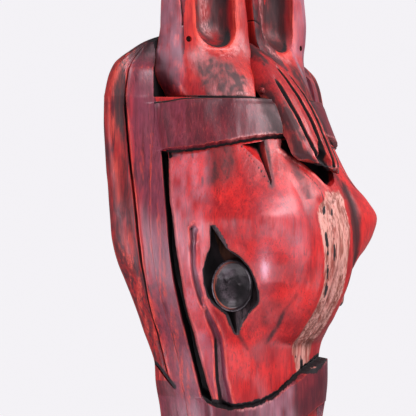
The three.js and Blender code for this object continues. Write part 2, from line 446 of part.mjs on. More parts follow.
function ringSolid() {
  // a D of round wire: the straight side lies in the barrel, the bow hangs below it
  const path = [], w = RING_W / 2, r = 3;
  for (let i = 0; i <= 4; i++) path.push([lerp(-w + r, w - r, i / 4), 0]);
  for (let i = 1; i <= 4; i++) { const a = (i / 4) * Math.PI / 2; path.push([w - r + Math.sin(a) * r, -(r - Math.cos(a) * r)]); }
  for (let i = 1; i <= 12; i++) { const a = (i / 13) * Math.PI; path.push([Math.cos(a) * w, -r - Math.sin(a) * (RING_DROP - r)]); }
  for (let i = 0; i < 4; i++) { const a = (i / 4) * Math.PI / 2; path.push([-(w - r) - Math.cos(a) * r, -(r - Math.sin(a) * r)]); }
  const n = path.length, sides = 8, pts = [], faces = [];
  for (let i = 0; i < n; i++) {
    const p = path[(i + n - 1) % n], q = path[(i + 1) % n];
    const l = Math.hypot(q[0] - p[0], q[1] - p[1]), nx = -(q[1] - p[1]) / l, nz = (q[0] - p[0]) / l;
    for (let k = 0; k < sides; k++) {
      const a = (k / sides) * Math.PI * 2, s = Math.cos(a) * RING_WIRE_R, t = Math.sin(a) * RING_WIRE_R;
      pts.push([path[i][0] + nx * s, -RING_D - 0.2 + t, RING_Z + path[i][1] + nz * s]);
    }
  }
  for (let i = 0; i < n; i++) for (let k = 0; k < sides; k++) {
    const a = i * sides + k, b = i * sides + (k + 1) % sides, c = ((i + 1) % n) * sides + k, d = ((i + 1) % n) * sides + (k + 1) % sides;
    faces.push([a, b, d], [a, d, c]);
  }
  return outward(geometry(pts, faces));
}
function screw(z) {
  const top = plateDepth0 - GAP;                 // underside of the head
  const g = new THREE.LatheGeometry([[0, -1.5], [2, -1.5], [SCREW_HEAD_R, -0.5], [SCREW_HEAD_R, 0], [SCREW_R, 0.05], [SCREW_R, SCREW_LEN - 4], [0.4, SCREW_LEN], [0, SCREW_LEN]]
    .map(([r, h]) => new THREE.Vector2(r, h)), 14);
  g.rotateX(Math.PI);                              // its point goes forwards, along -Y
  g.translate(0, -top, z);
  return outward(welded(g));
}
function nail(side) {
  const g = new THREE.LatheGeometry([[0, 3], [0.5, 3], [NAIL_R, 7], [NAIL_R, 26], [NAIL_HEAD_R, 26.1], [NAIL_HEAD_R, 26.9], [1.6, 27.4], [0, 27.4]].map(([r, h]) => new THREE.Vector2(r, h)), 12);
  g.rotateX(Math.PI);
  g.translate(side * NAIL_X, 0, NAIL_Z);
  return outward(welded(g));
}

// ---------------------------------------------------------------- assembly
const paint = (color, roughness = 0.38) => new THREE.MeshStandardMaterial({ color, roughness, metalness: 0 });
const root = new THREE.Group();
function add(name, geo, material) {
  const mesh = new THREE.Mesh(geo, material);
  mesh.name = name;
  root.add(mesh);
}
add('head_block', back(whole(block)), paint(0xc8382f));
add('mane_board_right', back(whole(boards.right)), paint(0x96454f));
add('mane_board_left', back(whole(boards.left)), paint(0x96454f));
add('ear_right', back(whole(earR)), paint(0xb8453f));
add('ear_left', back(whole(earL)), paint(0xb8453f));
add('forelock', back(whole(lock)), paint(0xcf4038));
add('eye_disc_right', mirrored(eyeDisc()), paint(0x3c373b, 0.45));
add('eye_disc_left', eyeDisc(), paint(0x3c373b, 0.45));
for (const [name, side] of [['right', -1], ['left', 1]]) {
  EAR_DOWELS.forEach(([x, d], i) => add(`ear_dowel_${name}_${i ? 'outer' : 'inner'}`, barZ(EAR_DOWEL_R, side * x, d, EAR_DOWEL_Z0, EAR_DOWEL_Z1), paint(0xc9a27a, 0.8)));
  BOARD_DOWELS.forEach(([x, z, d0, d1], i) => add(`board_dowel_${name}_${i ? 'lower' : 'upper'}`, barY(BOARD_DOWEL_R, side * x, z, d0, d1), paint(0xc9a27a, 0.8)));
  add(`ear_nail_${name}`, nail(side), new THREE.MeshStandardMaterial({ color: 0x2b2829, roughness: 0.6, metalness: 0.9 }));
}
add('forelock_peg', barY(PEG.r, PEG.x, PEG.z, PEG.d0, PEG.d1), paint(0xc9a27a, 0.8));
const steel = () => new THREE.MeshStandardMaterial({ color: 0xb9a56a, roughness: 0.35, metalness: 1 });
add('hanger_plate', back(plate), steel());
add('hanger_ring', ringSolid(), steel());
add('hanger_screw_upper', screw(SCREW_Z[0]), steel());
add('hanger_screw_lower', screw(SCREW_Z[1]), steel());

export default root;
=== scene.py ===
import math

import bpy
import numpy as np
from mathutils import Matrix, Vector


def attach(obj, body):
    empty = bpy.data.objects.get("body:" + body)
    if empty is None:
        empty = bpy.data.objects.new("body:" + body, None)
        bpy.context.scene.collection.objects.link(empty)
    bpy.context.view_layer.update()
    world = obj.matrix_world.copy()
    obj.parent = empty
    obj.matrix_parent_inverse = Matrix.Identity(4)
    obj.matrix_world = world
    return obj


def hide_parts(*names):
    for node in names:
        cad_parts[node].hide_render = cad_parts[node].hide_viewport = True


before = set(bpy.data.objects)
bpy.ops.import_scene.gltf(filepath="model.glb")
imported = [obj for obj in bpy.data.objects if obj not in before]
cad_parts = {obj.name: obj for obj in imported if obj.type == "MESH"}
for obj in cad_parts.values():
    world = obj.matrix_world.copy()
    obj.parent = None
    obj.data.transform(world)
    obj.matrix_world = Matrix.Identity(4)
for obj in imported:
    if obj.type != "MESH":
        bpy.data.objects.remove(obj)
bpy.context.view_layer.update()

# Lengths are written in millimetres, and turned into metres when a mesh is made.
# Half sections are [distance from the centre line, depth in front of the back plane].
MM = 0.001

SHELF_Z = -22.0
BAND_PROUD, NOSEBAND_PROUD, GROOVE_DEEP, MANE_CUT = 4.0, 6.6, 9.0, 2.8
WALL_K = 0.8

ROWS = [
    [-22.5, (101.8, 0), (93.2, 9.8), (77.8, 20.2), (74.3, 22.7), (62.4, 34.6), (48.3, 46.7), (30.9, 59.1), (0, 62)],
    [-37.7, (102.1, 0), (92.2, 10.8), (77.5, 22.5), (74.3, 25.7), (63.7, 36.8), (50, 51), (33.1, 64.9), (0, 72)],
    [-56.6, (100.9, 0), (92.6, 13.4), (78.8, 28.2), (75.8, 31.7), (67.7, 42.3), (54.2, 58.8), (36.1, 72.9), (0, 80)],
    [-69.2, (99.9, 0), (92.7, 15.3), (80.6, 31.4), (78.1, 34.9), (71.4, 46.6), (57.6, 63.9), (40.1, 78.9), (0, 90.5)],
    [-78.6, (98.6, 0), (92.3, 16.7), (81.9, 33.6), (80, 37), (73.4, 49.1), (60.1, 67.9), (44, 84), (0, 97.4)],
    [-88.1, (97.8, 0), (92.5, 18.5), (82.8, 35.7), (81.4, 39.1), (75.3, 51.2), (62.9, 71.6), (49.9, 89.6), (0, 102.4)],
    [-100, (96.6, 0), (91.8, 19.7), (83.8, 38.2), (81.9, 42.1), (76.9, 53.1), (66.2, 75.8), (54.5, 94.1), (0, 106.2)],
    [-110.1, (95.6, 0), (90.9, 20.1), (83.2, 38.8), (80.8, 42.7), (75.9, 53.1), (64.6, 74.4), (52.7, 92.3), (0, 108.2)],
    [-119.5, (93.3, 0), (89.6, 20.4), (82.1, 38.9), (79.3, 42.7), (73.7, 52.3), (62.1, 71.9), (49, 88.8), (0, 108.8)],
    [-128.9, (89.6, 0), (87.9, 20.1), (80.5, 39), (77.3, 43.2), (72.4, 51.1), (59, 69), (42.2, 84.8), (0, 107.7)],
    [-138.4, (84.4, 0), (85, 19.5), (78.3, 38.7), (74.9, 43.1), (69.9, 50.4), (55.8, 65.7), (35.7, 81.3), (0, 105.3)],
    [-150.9, (77.7, 0), (79.7, 17.3), (73.8, 37.7), (71.1, 41.9), (65.1, 49.9), (51.8, 64.2), (32.8, 79.7), (0, 100.5)],
    [-163.5, (71.5, 0), (73.5, 15), (68.7, 36.3), (65.9, 41.1), (58, 50.5), (46.5, 62.5), (29.6, 77.9), (0, 92.6)],
    [-173, (67.3, 0), (68.3, 13.7), (64.4, 35.6), (61.4, 40.6), (52.5, 50.5), (41.7, 61.3), (26.1, 75.4), (0, 85)],
    [-182.4, (62.5, 0), (63.8, 12.2), (60.3, 34.7), (57.3, 39.2), (48.3, 48.7), (36.9, 60.1), (22.7, 72.8), (0, 77.4)],
    [-195, (57.5, 0), (59.5, 12), (56.1, 34.9), (52.6, 39.4), (45.6, 46.9), (31.9, 60), (21.3, 72.2), (0, 77)],
    [-204.4, (56.9, 0), (56.9, 13.1), (53, 35), (49.3, 39.7), (43.6, 46.4), (28.6, 60.4), (20.5, 72.3), (0, 77.5)],
    [-223.9, (52.7, 0), (51.8, 15.2), (47, 35), (42.8, 40.2), (36.6, 48.4), (26.3, 62.7), (19.8, 72.4), (0, 77.5)],
    [-245, (49.5, 0), (49, 15.2), (45, 33), (42, 39), (37, 48), (28, 62), (20, 73), (0, 78)],
    [-258, (47, 0), (47.5, 15), (46, 31), (44, 39), (40, 49), (31.5, 63.5), (21, 75), (0, 80)],
    [-272, (45, 0), (46.5, 14.5), (46, 30), (44.5, 38), (41.5, 49), (33, 63.5), (21, 75), (0, 79)],
    [-284, (41, 0), (43, 13.5), (43, 28), (42, 35), (39, 46), (31.5, 60), (20, 71.5), (0, 75.5)],
    [-294, (34.5, 0), (36, 12), (36.5, 25), (35.5, 31), (33, 40), (26.5, 51.5), (17, 61), (0, 65)],
    [-302, (25, 4), (26, 11), (26.5, 20), (26, 25), (24, 31), (19, 39), (12, 45), (0, 48)],
]
# the crest behind the ears: height, half width, flat depth, shoulder depth, shoulder's distance out
CREST = [[-22, 101.8, 8, 20.2, 77.8], [-10, 98.5, 8, 18.4, 76.2], [-4, 95.5, 8, 16.8, 74.6], [0, 92.5, 8, 13.6, 70.6], [4, 87, 8, 11.2, 67.4],
         [8, 80, 8, 9.6, 66.3], [14.5, 67.5, 7.4, 7.9, 64.9], [19, 54, 6.5, 6.5, 51.8], [23, 36, 4.5, 4.5, 34.4]]
# band edges by column: strap, groove, groove edge, cheek, eye, brow, nose corner, centre
LINE_S = [4, 5, 6, 7, 8, 9, 10, 11]
BAND_TOP = [-26.4, -26.2, -26, -23.6, -22.9, -22.8, -22.8, -22.8]
BAND_END = [-56.4, -56.4, -56.4, -55.6, -52.5, -48.7, -47, -47]
NOSE_TOP = {-1: [-215, -217, -219, -221.5, -219, -213, -205.5, -198], 1: [-215, -217, -219, -220, -210, -191, -193, -198]}
NOSE_END = {-1: [-245, -245, -245, -247, -245, -240, -232, -226], 1: [-245, -245, -245, -247, -242, -219, -220, -226]}

EAR = [
    [-21.7, (16, 9), (57, 9), (59.5, 31), (50, 43), (42, 48), (34, 52), (26, 55), (20, 55.5), (16, 50)],
    [-10, (10, 8.3), (63.1, 8.3), (61, 27), (49, 38), (41, 43), (33, 47), (25, 49.5), (17, 50), (11, 46)],
    [-4, (7.6, 8.3), (65.4, 8.3), (60.7, 25.9), (48.4, 35.7), (40.4, 40.1), (32.4, 43.5), (24.4, 45.1), (15.8, 45.6), (9.3, 43.1)],
    [0, (6, 8.3), (64.7, 8.3), (60.5, 25), (48, 34), (40, 38), (32, 41), (24, 42), (15, 42.5), (8, 41)],
    [8, (4, 8.3), (64.4, 8.3), (60.5, 24.5), (46.5, 31), (39, 33), (30, 34.5), (22, 35.5), (14, 37), (5, 37.5)],
    [12, (3.4, 8.3), (63.0, 8.3), (60.8, 24.6), (46, 30), (38, 27), (30, 26), (22, 28), (13.5, 35), (4, 36)],
    [20, (2.6, 8.3), (62, 8.3), (61.3, 25.5), (46, 29), (37, 19), (29, 17.5), (21, 20), (12.5, 33), (3, 33.5)],
    [30, (2.6, 8.3), (62, 8.3), (61.5, 26), (46, 28.5), (37, 15.5), (28.5, 14.2), (20, 16), (12.3, 31.5), (2.8, 32)],
    [45, (3, 8.3), (61, 8.3), (60.5, 25.5), (47, 28), (37, 15), (29, 13.8), (20, 15.8), (11.5, 30), (3, 30)],
    [60, (5, 8.3), (59, 8.3), (58.5, 24.5), (46.5, 27), (37, 15), (29, 14), (21, 15.5), (12.5, 28.5), (4.8, 28.5)],
    [75, (8.5, 8.3), (55.5, 8.3), (55, 23), (44.5, 25.5), (37, 15), (30, 14.2), (23, 16), (15.5, 26.5), (8.3, 26.5)],
    [90, (14, 8.6), (50, 8.6), (49.5, 21.5), (42, 23.5), (36.5, 16.2), (31, 15.4), (25.5, 17.2), (20, 24.3), (14, 24.3)],
    [103, (21, 9.2), (43.5, 9.2), (43, 19.8), (38.5, 21.5), (35.5, 19), (32, 18.3), (28.5, 19.5), (25.5, 22), (21, 22)],
    [112, (26, 10), (38.5, 10), (38.2, 18), (36, 19.3), (34.5, 19.4), (32.3, 19.4), (30, 19.5), (28.3, 19.7), (26, 19)],
    [118, (30, 11.4), (34.6, 11.4), (34.6, 14.6), (33.8, 15.6), (33.1, 15.8), (32.4, 15.9), (31.7, 15.8), (31, 15.6), (30, 15)],
]
# forelock rows: height at the left and right edge, left and right edge, depth of the front and of the back
FORELOCK = [
    (16, 16, -2.6, 4, 30, 24), (9.5, 9.5, -6, 8, 40.5, 26), (3.8, 3.8, -9, 13.5, 48, 28), (-1, -1, -11.5, 16.5, 53, 31),
    (-9.4, -9.4, -14, 19, 61, 37), (-20, -20, -16, 20.5, 70.5, 48), (-28, -28, -16.6, 20.6, 76.5, 57), (-36, -37, -17, 20.5, 82.5, 64),
    (-45, -47, -17.2, 20.3, 88, 71), (-51, -56, -17.2, 20, 92.5, 80), (-57.5, -65, -17, 18.5, 97.3, 88), (-62.5, -72, -14, 15, 99.5, 93),
]
# lines on the side of the face, as (depth minus distance from the centre line, height)
TEARS = (
    ([(-20.6, -104.5), (-21.2, -108), (-21.6, -120.1), (-21.2, -129.6), (-18.8, -139.0), (-15.0, -149.1), (-11.8, -157.5)],
     ([0, 0.1, 0.25, 0.5, 0.8, 1], [2.2, 3.9, 2.9, 2.5, 2.9, 0.8]), ([0, 0.1, 0.5, 0.85, 1], [1.6, 2.6, 2.0, 2.2, 0.4])),
    ([(-12.6, -150.5), (-8.2, -161.0), (-2.6, -169.8), (0.9, -176.7), (2.4, -188.1), (3.6, -201.9), (6.2, -211.3), (8.6, -221)],
     ([0, 0.15, 0.4, 0.6, 0.8, 1], [0.6, 2.4, 3.5, 4.5, 5.2, 6.0]), ([0, 0.15, 0.4, 0.7, 1], [0.4, 2.0, 2.8, 3.4, 3.8])),
)
MANE_END = [(-66, -190.5), (-57, -194.5), (-50, -199.5), (-39.4, -209.2)]
# bare stripe down the nose: height, edge on the -X side, edge on the +X side
BLAZE = [(-84, -3, 12), (-88, -6, 13.2), (-92, -12, 12.4), (-100, -14.5, 12.4), (-108, -15, 12.8), (-117, -13.4, 11), (-131, -11.3, 9.4), (-145, -8.8, 11),
         (-163.5, -8.2, 9.8), (-173, -8.6, 10.2), (-182, -9, 9.7), (-190, -7, 7.6), (-198, -4.4, 7)]

# the eye, on the +X side: local axes u towards the centre line, n outwards
EYE_X, EYE_D, EYE_Z = 56.5, 66.5, -138.0
EYE_FLOOR, EYE_TILT = 8.0, math.tan(math.radians(15))
DISC_RX, DISC_RZ, DISC_T = 13.2, 16.6, 5.0
DISC_U, DISC_V = 2.5, -4.0
LIDS = [(-11.2, 34.4), (-6.3, 27), (-1.3, 19.5), (6.7, 14.5), (12.9, 7.5), (16.4, -0.6), (18.7, -8.2), (18.9, -14.5), (13.8, -20.8), (9.4, -26.4),
        (4.2, -34), (0.9, -28.9), (-1.6, -22), (-8.8, -16.4), (-13.2, -10.4), (-15.5, -2.2), (-15.7, 6.3), (-14, 13.8), (-11.3, 20.4)]
SLOT_UP = [(71.4, -104.5), (70.6, -104.5), (62, -121.5), (67.4, -119.6)]
SLOT_DOWN = [(52, -158.5), (44.8, -156.5), (43, -172.5), (44.2, -172.5)]

SEAM_A, SEAM_B, SEAM_C, BOARD_END_Z = -3.5, 0.3, -0.05, -247.0


# ------------------------------------------------------------------ number helpers
def lerp(a, b, t):
    return a + (b - a) * t


def step(a, b, x):
    t = np.clip((x - a) / (b - a), 0, 1)
    return t * t * (3 - 2 * t)


def pchip(x, xs, ys):
    """Monotone cubic interpolation of ys (n, ...) over rising xs (n), at x of any shape."""
    xs, ys = np.asarray(xs, float), np.asarray(ys, float)
    flat = ys.reshape(len(xs), -1)
    h = np.diff(xs)
    d = np.diff(flat, axis=0) / h[:, None]
    m = np.zeros_like(flat)
    w1, w2 = 2 * h[1:] + h[:-1], h[1:] + 2 * h[:-1]
    same = d[:-1] * d[1:] > 0
    with np.errstate(divide="ignore", invalid="ignore"):
        mid = (w1 + w2)[:, None] / (w1[:, None] / d[:-1] + w2[:, None] / d[1:])
    m[1:-1] = np.where(same, mid, 0)
    m[0], m[-1] = d[0], d[-1]
    xq = np.clip(np.asarray(x, float), xs[0], xs[-1])
    i = np.clip(np.searchsorted(xs, xq, side="right") - 1, 0, len(xs) - 2)
    t = ((xq - xs[i]) / h[i])[..., None]
    hh = h[i][..., None]
    a, b = flat[i], flat[i + 1]
    r = a * (2 * t**3 - 3 * t**2 + 1) + b * (-2 * t**3 + 3 * t**2) + m[i] * hh * (t**3 - 2 * t**2 + t) + m[i + 1] * hh * (t**3 - t**2)
    return r.reshape(xq.shape + ys.shape[1:])


def hash3(ix, iy, iz, seed):
    h = (ix.astype(np.int64) * 374761393 + iy.astype(np.int64) * 668265263 + iz.astype(np.int64) * 2147483647 + seed * 1274126177) & 0xFFFFFFFF
    h = ((h ^ (h >> 13)) * 1274126177) & 0xFFFFFFFF
    h = (h ^ (h >> 16)) & 0xFFFFFFFF
    return h / 4294967295.0


def noise(x, y, z, seed=1):
    """Smooth value noise from -1 to 1."""
    ix, iy, iz = np.floor(x), np.floor(y), np.floor(z)
    fx, fy, fz = x - ix, y - iy, z - iz
    fx, fy, fz = (f * f * (3 - 2 * f) for f in (fx, fy, fz))
    out = 0
    for a in (0, 1):
        for b in (0, 1):
            for c in (0, 1):
                w = (fx if a else 1 - fx) * (fy if b else 1 - fy) * (fz if c else 1 - fz)
                out = out + w * hash3(ix + a, iy + b, iz + c, seed)
    return out * 2 - 1


def fbm(x, y, z, seed=1, octaves=3):
    out, amp, tot = 0, 1.0, 0
    for k in range(octaves):
        out = out + amp * noise(x * 2**k, y * 2**k, z * 2**k, seed + 7 * k)
        tot += amp
        amp *= 0.5
    return out / tot


def line_distance(px, pz, line):
    """Distance from points to a polyline, the side (positive to the right going down) and the share of the way along it."""
    best = np.full(px.shape, 1e9)
    side = np.zeros(px.shape)
    along = np.zeros(px.shape)
    n = len(line) - 1
    for k in range(n):
        (x0, z0), (x1, z1) = line[k], line[k + 1]
        dx, dz = x1 - x0, z1 - z0
        ll = dx * dx + dz * dz
        t = np.clip(((px - x0) * dx + (pz - z0) * dz) / ll, 0, 1)
        qx, qz = px - (x0 + t * dx), pz - (z0 + t * dz)
        d = np.hypot(qx, qz)
        s = np.sign(dx * (pz - z0) - dz * (px - x0))
        near = d < best
        best = np.where(near, d, best)
        side = np.where(near, s, side)
        along = np.where(near, (k + t) / n, along)
    return best, side, along


def inside_polygon(px, pz, poly):
    hit = np.zeros(px.shape, bool)
    n = len(poly)
    for k in range(n):
        (x0, z0), (x1, z1) = poly[k], poly[(k + 1) % n]
        if z0 == z1:
            continue
        cross = ((z0 > pz) != (z1 > pz)) & (px < (x1 - x0) * (pz - z0) / (z1 - z0) + x0)
        hit ^= cross
    return hit


def polygon_distance(px, pz, poly):
    """Signed distance, negative inside."""
    d, _, _ = line_distance(px, pz, list(poly) + [poly[0]])
    return np.where(inside_polygon(px, pz, poly), -d, d)


# ------------------------------------------------------------------ mesh helpers
def mesh_object(name, verts, faces, smooth=40):
    """A mesh from millimetre points and a list of face arrays (quads or triangles)."""
    me = bpy.data.meshes.new(name)
    loops = np.concatenate([np.asarray(f).reshape(-1) for f in faces])
    sizes = np.concatenate([np.full(len(f), np.asarray(f).shape[1]) for f in faces])
    me.vertices.add(len(verts))
    me.vertices.foreach_set("co", (np.asarray(verts, float) * MM).astype(np.float32).ravel())
    me.loops.add(len(loops))
    me.loops.foreach_set("vertex_index", loops.astype(np.int32))
    me.polygons.add(len(sizes))
    me.polygons.foreach_set("loop_start", np.concatenate([[0], np.cumsum(sizes)[:-1]]).astype(np.int32))
    me.update(calc_edges=True)
    me.validate()
    ob = bpy.data.objects.new(name, me)
    bpy.context.scene.collection.objects.link(ob)
    if volume_of(me) < 0:
        me.flip_normals()
    finish_shading(ob, smooth)
    return ob


def volume_of(me):
    me.calc_loop_triangles()
    n = len(me.loop_triangles)
    tri = np.empty(n * 3, np.int32)
    me.loop_triangles.foreach_get("vertices", tri)
    co = coords(me) / MM
    a, b, c = (co[tri.reshape(-1, 3)[:, k]] for k in range(3))
    return float(np.einsum("ij,ij->i", a, np.cross(b, c)).sum() / 6)


def coords(me):
    co = np.empty(len(me.vertices) * 3, np.float32)
    me.vertices.foreach_get("co", co)
    return co.reshape(-1, 3).astype(float)


def finish_shading(ob, smooth):
    me = ob.data
    me.polygons.foreach_set("use_smooth", np.ones(len(me.polygons), bool))
    me.set_sharp_from_angle(angle=math.radians(smooth))
    me.update()


def loft(rings):
    """Vertices and faces of a closed solid through rings of equal length, with a fan at each end."""
    rings = np.asarray(rings, float)
    r, n = rings.shape[:2]
    verts = rings.reshape(-1, 3)
    base = (np.arange(r - 1) * n)[:, None]
    k = np.arange(n)[None]
    k1 = (k + 1) % n
    quads = np.stack([base + k, base + k1, base + n + k1, base + n + k], -1).reshape(-1, 4)
    mids = np.array([rings[0].mean(0), rings[-1].mean(0)])
    verts = np.vstack([verts, mids])
    m0, m1, last = r * n, r * n + 1, (r - 1) * n
    k, k1 = k[0], k1[0]
    fans = np.vstack([np.stack([np.full(n, m0), k1, k], -1), np.stack([np.full(n, m1), last + k, last + k1], -1)])
    return verts, [quads, fans]


def solid(name, rings):
    v, f = loft(rings)
    return mesh_object(name, v, f)


def cut(ob, cutter, how="DIFFERENCE", keep=False):
    mod = ob.modifiers.new("cut", "BOOLEAN")
    mod.operation = how
    mod.solver = "MANIFOLD"
    mod.object = cutter
    dg = bpy.context.evaluated_depsgraph_get()
    me = bpy.data.meshes.new_from_object(ob.evaluated_get(dg), depsgraph=dg)
    ob.modifiers.clear()
    old = ob.data
    ob.data = me
    bpy.data.meshes.remove(old)
    if not keep:
        m = cutter.data
        bpy.data.objects.remove(cutter)
        bpy.data.meshes.remove(m)
    return ob


def copy_of(ob, name):
    c = ob.copy()
    c.data = ob.data.copy()
    c.name = name
    c.data.name = name
    bpy.context.scene.collection.objects.link(c)
    return c


def drop_crumbs(ob):
    """Keeps the largest connected piece of a mesh."""
    me = ob.data
    nv = len(me.vertices)
    e = np.empty(len(me.edges) * 2, np.int32)
    me.edges.foreach_get("vertices", e)
    e = e.reshape(-1, 2)
    label = np.arange(nv)
    while True:
        low = np.minimum(label[e[:, 0]], label[e[:, 1]])
        new = label.copy()
        np.minimum.at(new, e[:, 0], low)
        np.minimum.at(new, e[:, 1], low)
        new = new[new]
        if np.array_equal(new, label):
            break
        label = new
    names, counts = np.unique(label, return_counts=True)
    if len(names) > 1:
        import bmesh
        keep = names[np.argmax(counts)]
        bm = bmesh.new()
        bm.from_mesh(me)
        bm.verts.ensure_lookup_table()
        bmesh.ops.delete(bm, geom=[bm.verts[i] for i in np.nonzero(label != keep)[0]], context="VERTS")
        bm.to_mesh(me)
        bm.free()
    return ob


def attribute(ob, name, values):
    a = ob.data.attributes.get(name) or ob.data.attributes.new(name, "FLOAT", "POINT")
    a.data.foreach_set("value", np.asarray(values, np.float32))


# ------------------------------------------------------------------ the head's surface
ROW_Z = np.array([r[0] for r in ROWS])[::-1]
ROW_K = np.array([r[1:] for r in ROWS], float)[::-1]          # (rows, 8 knots, 2)


def knots(z):
    """The twelve knots of a half section at heights z: (..., 12, 2)."""
    k = pchip(z, ROW_Z, ROW_K)
    A, B, C, D, E, F, G, I = (k[..., i, :] for i in range(8))
    lip = np.stack([np.maximum(A[..., 0] + 0.4, lerp(A[..., 0], B[..., 0], 0.45)), A[..., 1] + 4.5], -1)
    mid = (B + C) / 2 + 0.5
    gr = (C + D) / 2
    H = np.stack([np.minimum(13, G[..., 0] * 0.72), I[..., 1] - 1.0], -1)
    return np.stack([A, lip, B, mid, C, gr, D, E, F, G, H, I], -2)


def crest_knots(z):
    c = np.array(CREST)
    v = pchip(np.minimum(z, 23.0), c[:, 0], c[:, 1:])
    w, flat, sh, cx = v[..., 0], v[..., 1], v[..., 2], v[..., 3]
    seat = np.minimum(cx - 1.5, np.maximum(65.0, cx * 0.9))
    bx, bd = lerp(w, cx, 0.358), sh * 0.485
    pts = [(w, w * 0), (w + 0.4, np.minimum(4.5, sh * 0.3)), (bx, bd), ((bx + cx) / 2 + 0.4, (bd + sh) / 2 + 0.4), (cx, sh),
           (seat, flat), (seat * 0.96, flat), (seat * 0.8, flat), (seat * 0.64, flat), (seat * 0.4, flat), (seat * 0.18, flat), (w * 0, flat)]
    return np.stack([np.stack(p, -1) for p in pts], -2)


def hermite(P, s, lo, hi, mirror_end=False):
    """Points at column values s on the curve through knots lo..hi of P (..., 12, 2)."""
    K = P[..., lo:hi + 1, :]
    if mirror_end:                           # past the centre line the curve goes on as its own mirror image
        extra = K[..., -2, :] * np.array([-1, 1])
        K = np.concatenate([K, extra[..., None, :]], -2)
    h = np.linalg.norm(np.diff(K, axis=-2), axis=-1) + 1e-6
    d = np.diff(K, axis=-2) / h[..., None]
    m = np.empty_like(K)
    m[..., 0, :], m[..., -1, :] = d[..., 0, :], d[..., -1, :]
    a, b = h[..., :-1, None], h[..., 1:, None]
    m[..., 1:-1, :] = (d[..., :-1, :] * b + d[..., 1:, :] * a) / (a + b)
    i = np.clip(np.floor(s - lo).astype(int), 0, hi - lo - 1)
    t = (s - lo - i)[..., None]
    take = lambda X: np.take_along_axis(X, i[..., None, None] + np.zeros(X.shape[:-2] + (1, X.shape[-1]), int), -2)[..., 0, :]
    hh = np.take_along_axis(h, i[..., None], -1)
    p0, p1 = take(K), np.take_along_axis(K, (i + 1)[..., None, None] + np.zeros(K.shape[:-2] + (1, 2), int), -2)[..., 0, :]
    m0, m1 = take(m), np.take_along_axis(m, (i + 1)[..., None, None] + np.zeros(K.shape[:-2] + (1, 2), int), -2)[..., 0, :]
    return p0 * (2 * t**3 - 3 * t**2 + 1) + p1 * (-2 * t**3 + 3 * t**2) + m0 * hh * (t**3 - 2 * t**2 + t) + m1 * hh * (t**3 - t**2)


def base_points(s, z):
    """The smooth half surface at column s and height z, both (rows, columns)."""
    K = np.where((z > SHELF_Z - 0.15)[..., None, None], crest_knots(z), knots(z))
    a = hermite(K, np.clip(s, 0, 4), 0, 4)
    b = hermite(K, np.clip(s, 4, 6), 4, 6)
    c = hermite(K, np.clip(s, 6, 11), 6, 11, True)
    flat = z > SHELF_Z - 0.15
    straight = np.take_along_axis(K, np.clip(np.floor(s), 0, 10).astype(int)[..., None, None] + np.zeros(K.shape[:-2] + (1, 2), int), -2)[..., 0, :]
    nxt = np.take_along_axis(K, (np.clip(np.floor(s), 0, 10).astype(int) + 1)[..., None, None] + np.zeros(K.shape[:-2] + (1, 2), int), -2)[..., 0, :]
    lin = straight + (nxt - straight) * (s - np.clip(np.floor(s), 0, 10))[..., None]
    out = np.where((s < 4)[..., None], a, np.where((s < 6)[..., None], b, c))
    return np.where((flat & (s > 4))[..., None], lin, out)


def edge_line(vals, s):
    return pchip(np.clip(s, 4, 11), LINE_S, vals)


def carved_lines(s, side):
    """Heights of the brow band's and the noseband's edges at column s."""
    near = side < 0
    nt = np.where(near, edge_line(NOSE_TOP[-1], s), edge_line(NOSE_TOP[1], s))
    ne = np.where(near, edge_line(NOSE_END[-1], s), edge_line(NOSE_END[1], s))
    rag = 0.35 * np.sin(s * 9.0) * np.sin(s * 23.0) * step(6, 7, s)
    return edge_line(BAND_TOP, s), edge_line(BAND_END, s) + rag, nt + 1.3 * rag, ne


def column_values():
    """Column positions across one half, close together where the carving is sharp."""
    f = 1.0
    parts = [(0, 1, 6), (1, 1.8, 7), (1.8, 2.2, 12), (2.2, 3.7, 14), (3.7, 4, 7), (4, 4.3, 4), (4.3, 5.7, 8), (5.7, 6, 4), (6, 6.3, 6),
             (6.3, 7.9, 26), (7.9, 9.3, 24), (9.3, 10.2, 20), (10.2, 11, 11)]
    out = []
    for a, b, n in parts:
        n = max(2, int(round(n * f)))
        out.append(np.linspace(a, b, n, endpoint=False))
    return np.concatenate(out + [[11.0]])


def near_ends(n, power=1.8, ends="both"):
    t = np.arange(1, n + 1) / n
    if ends == "both":
        return np.where(t < 0.5, 0.5 * (2 * t) ** power, 1 - 0.5 * (2 - 2 * t) ** power)
    if ends == "start":
        return t**power
    if ends == "end":
        return 1 - (1 - t) ** power
    return t


def row_lines(s, side):
    """Heights of every row at columns s: the rows follow the carved band edges."""
    f = 1.0
    n = lambda v: max(3, int(round(v * f)))
    flat = lambda v: np.full(s.shape, float(v))
    bt, be, nt, ne = carved_lines(s, side)
    anchors = [flat(-22.3), bt, be, flat(-70), flat(-172), nt, ne, flat(-264), flat(-302)]
    counts = [(n(5), "end"), (n(34), "both"), (n(18), "start"), (n(96), ""), (n(32), "end"), (n(28), "both"), (n(14), "start"), (n(34), "")]
    rows = [flat(z) for z in np.concatenate([np.linspace(23, -21.95, n(34))])]
    rows.append(anchors[0])
    for k, (cnt, ends) in enumerate(counts):
        for t in near_ends(cnt, 2.0, ends):
            rows.append(lerp(anchors[k], anchors[k + 1], t))
    return np.array(rows)


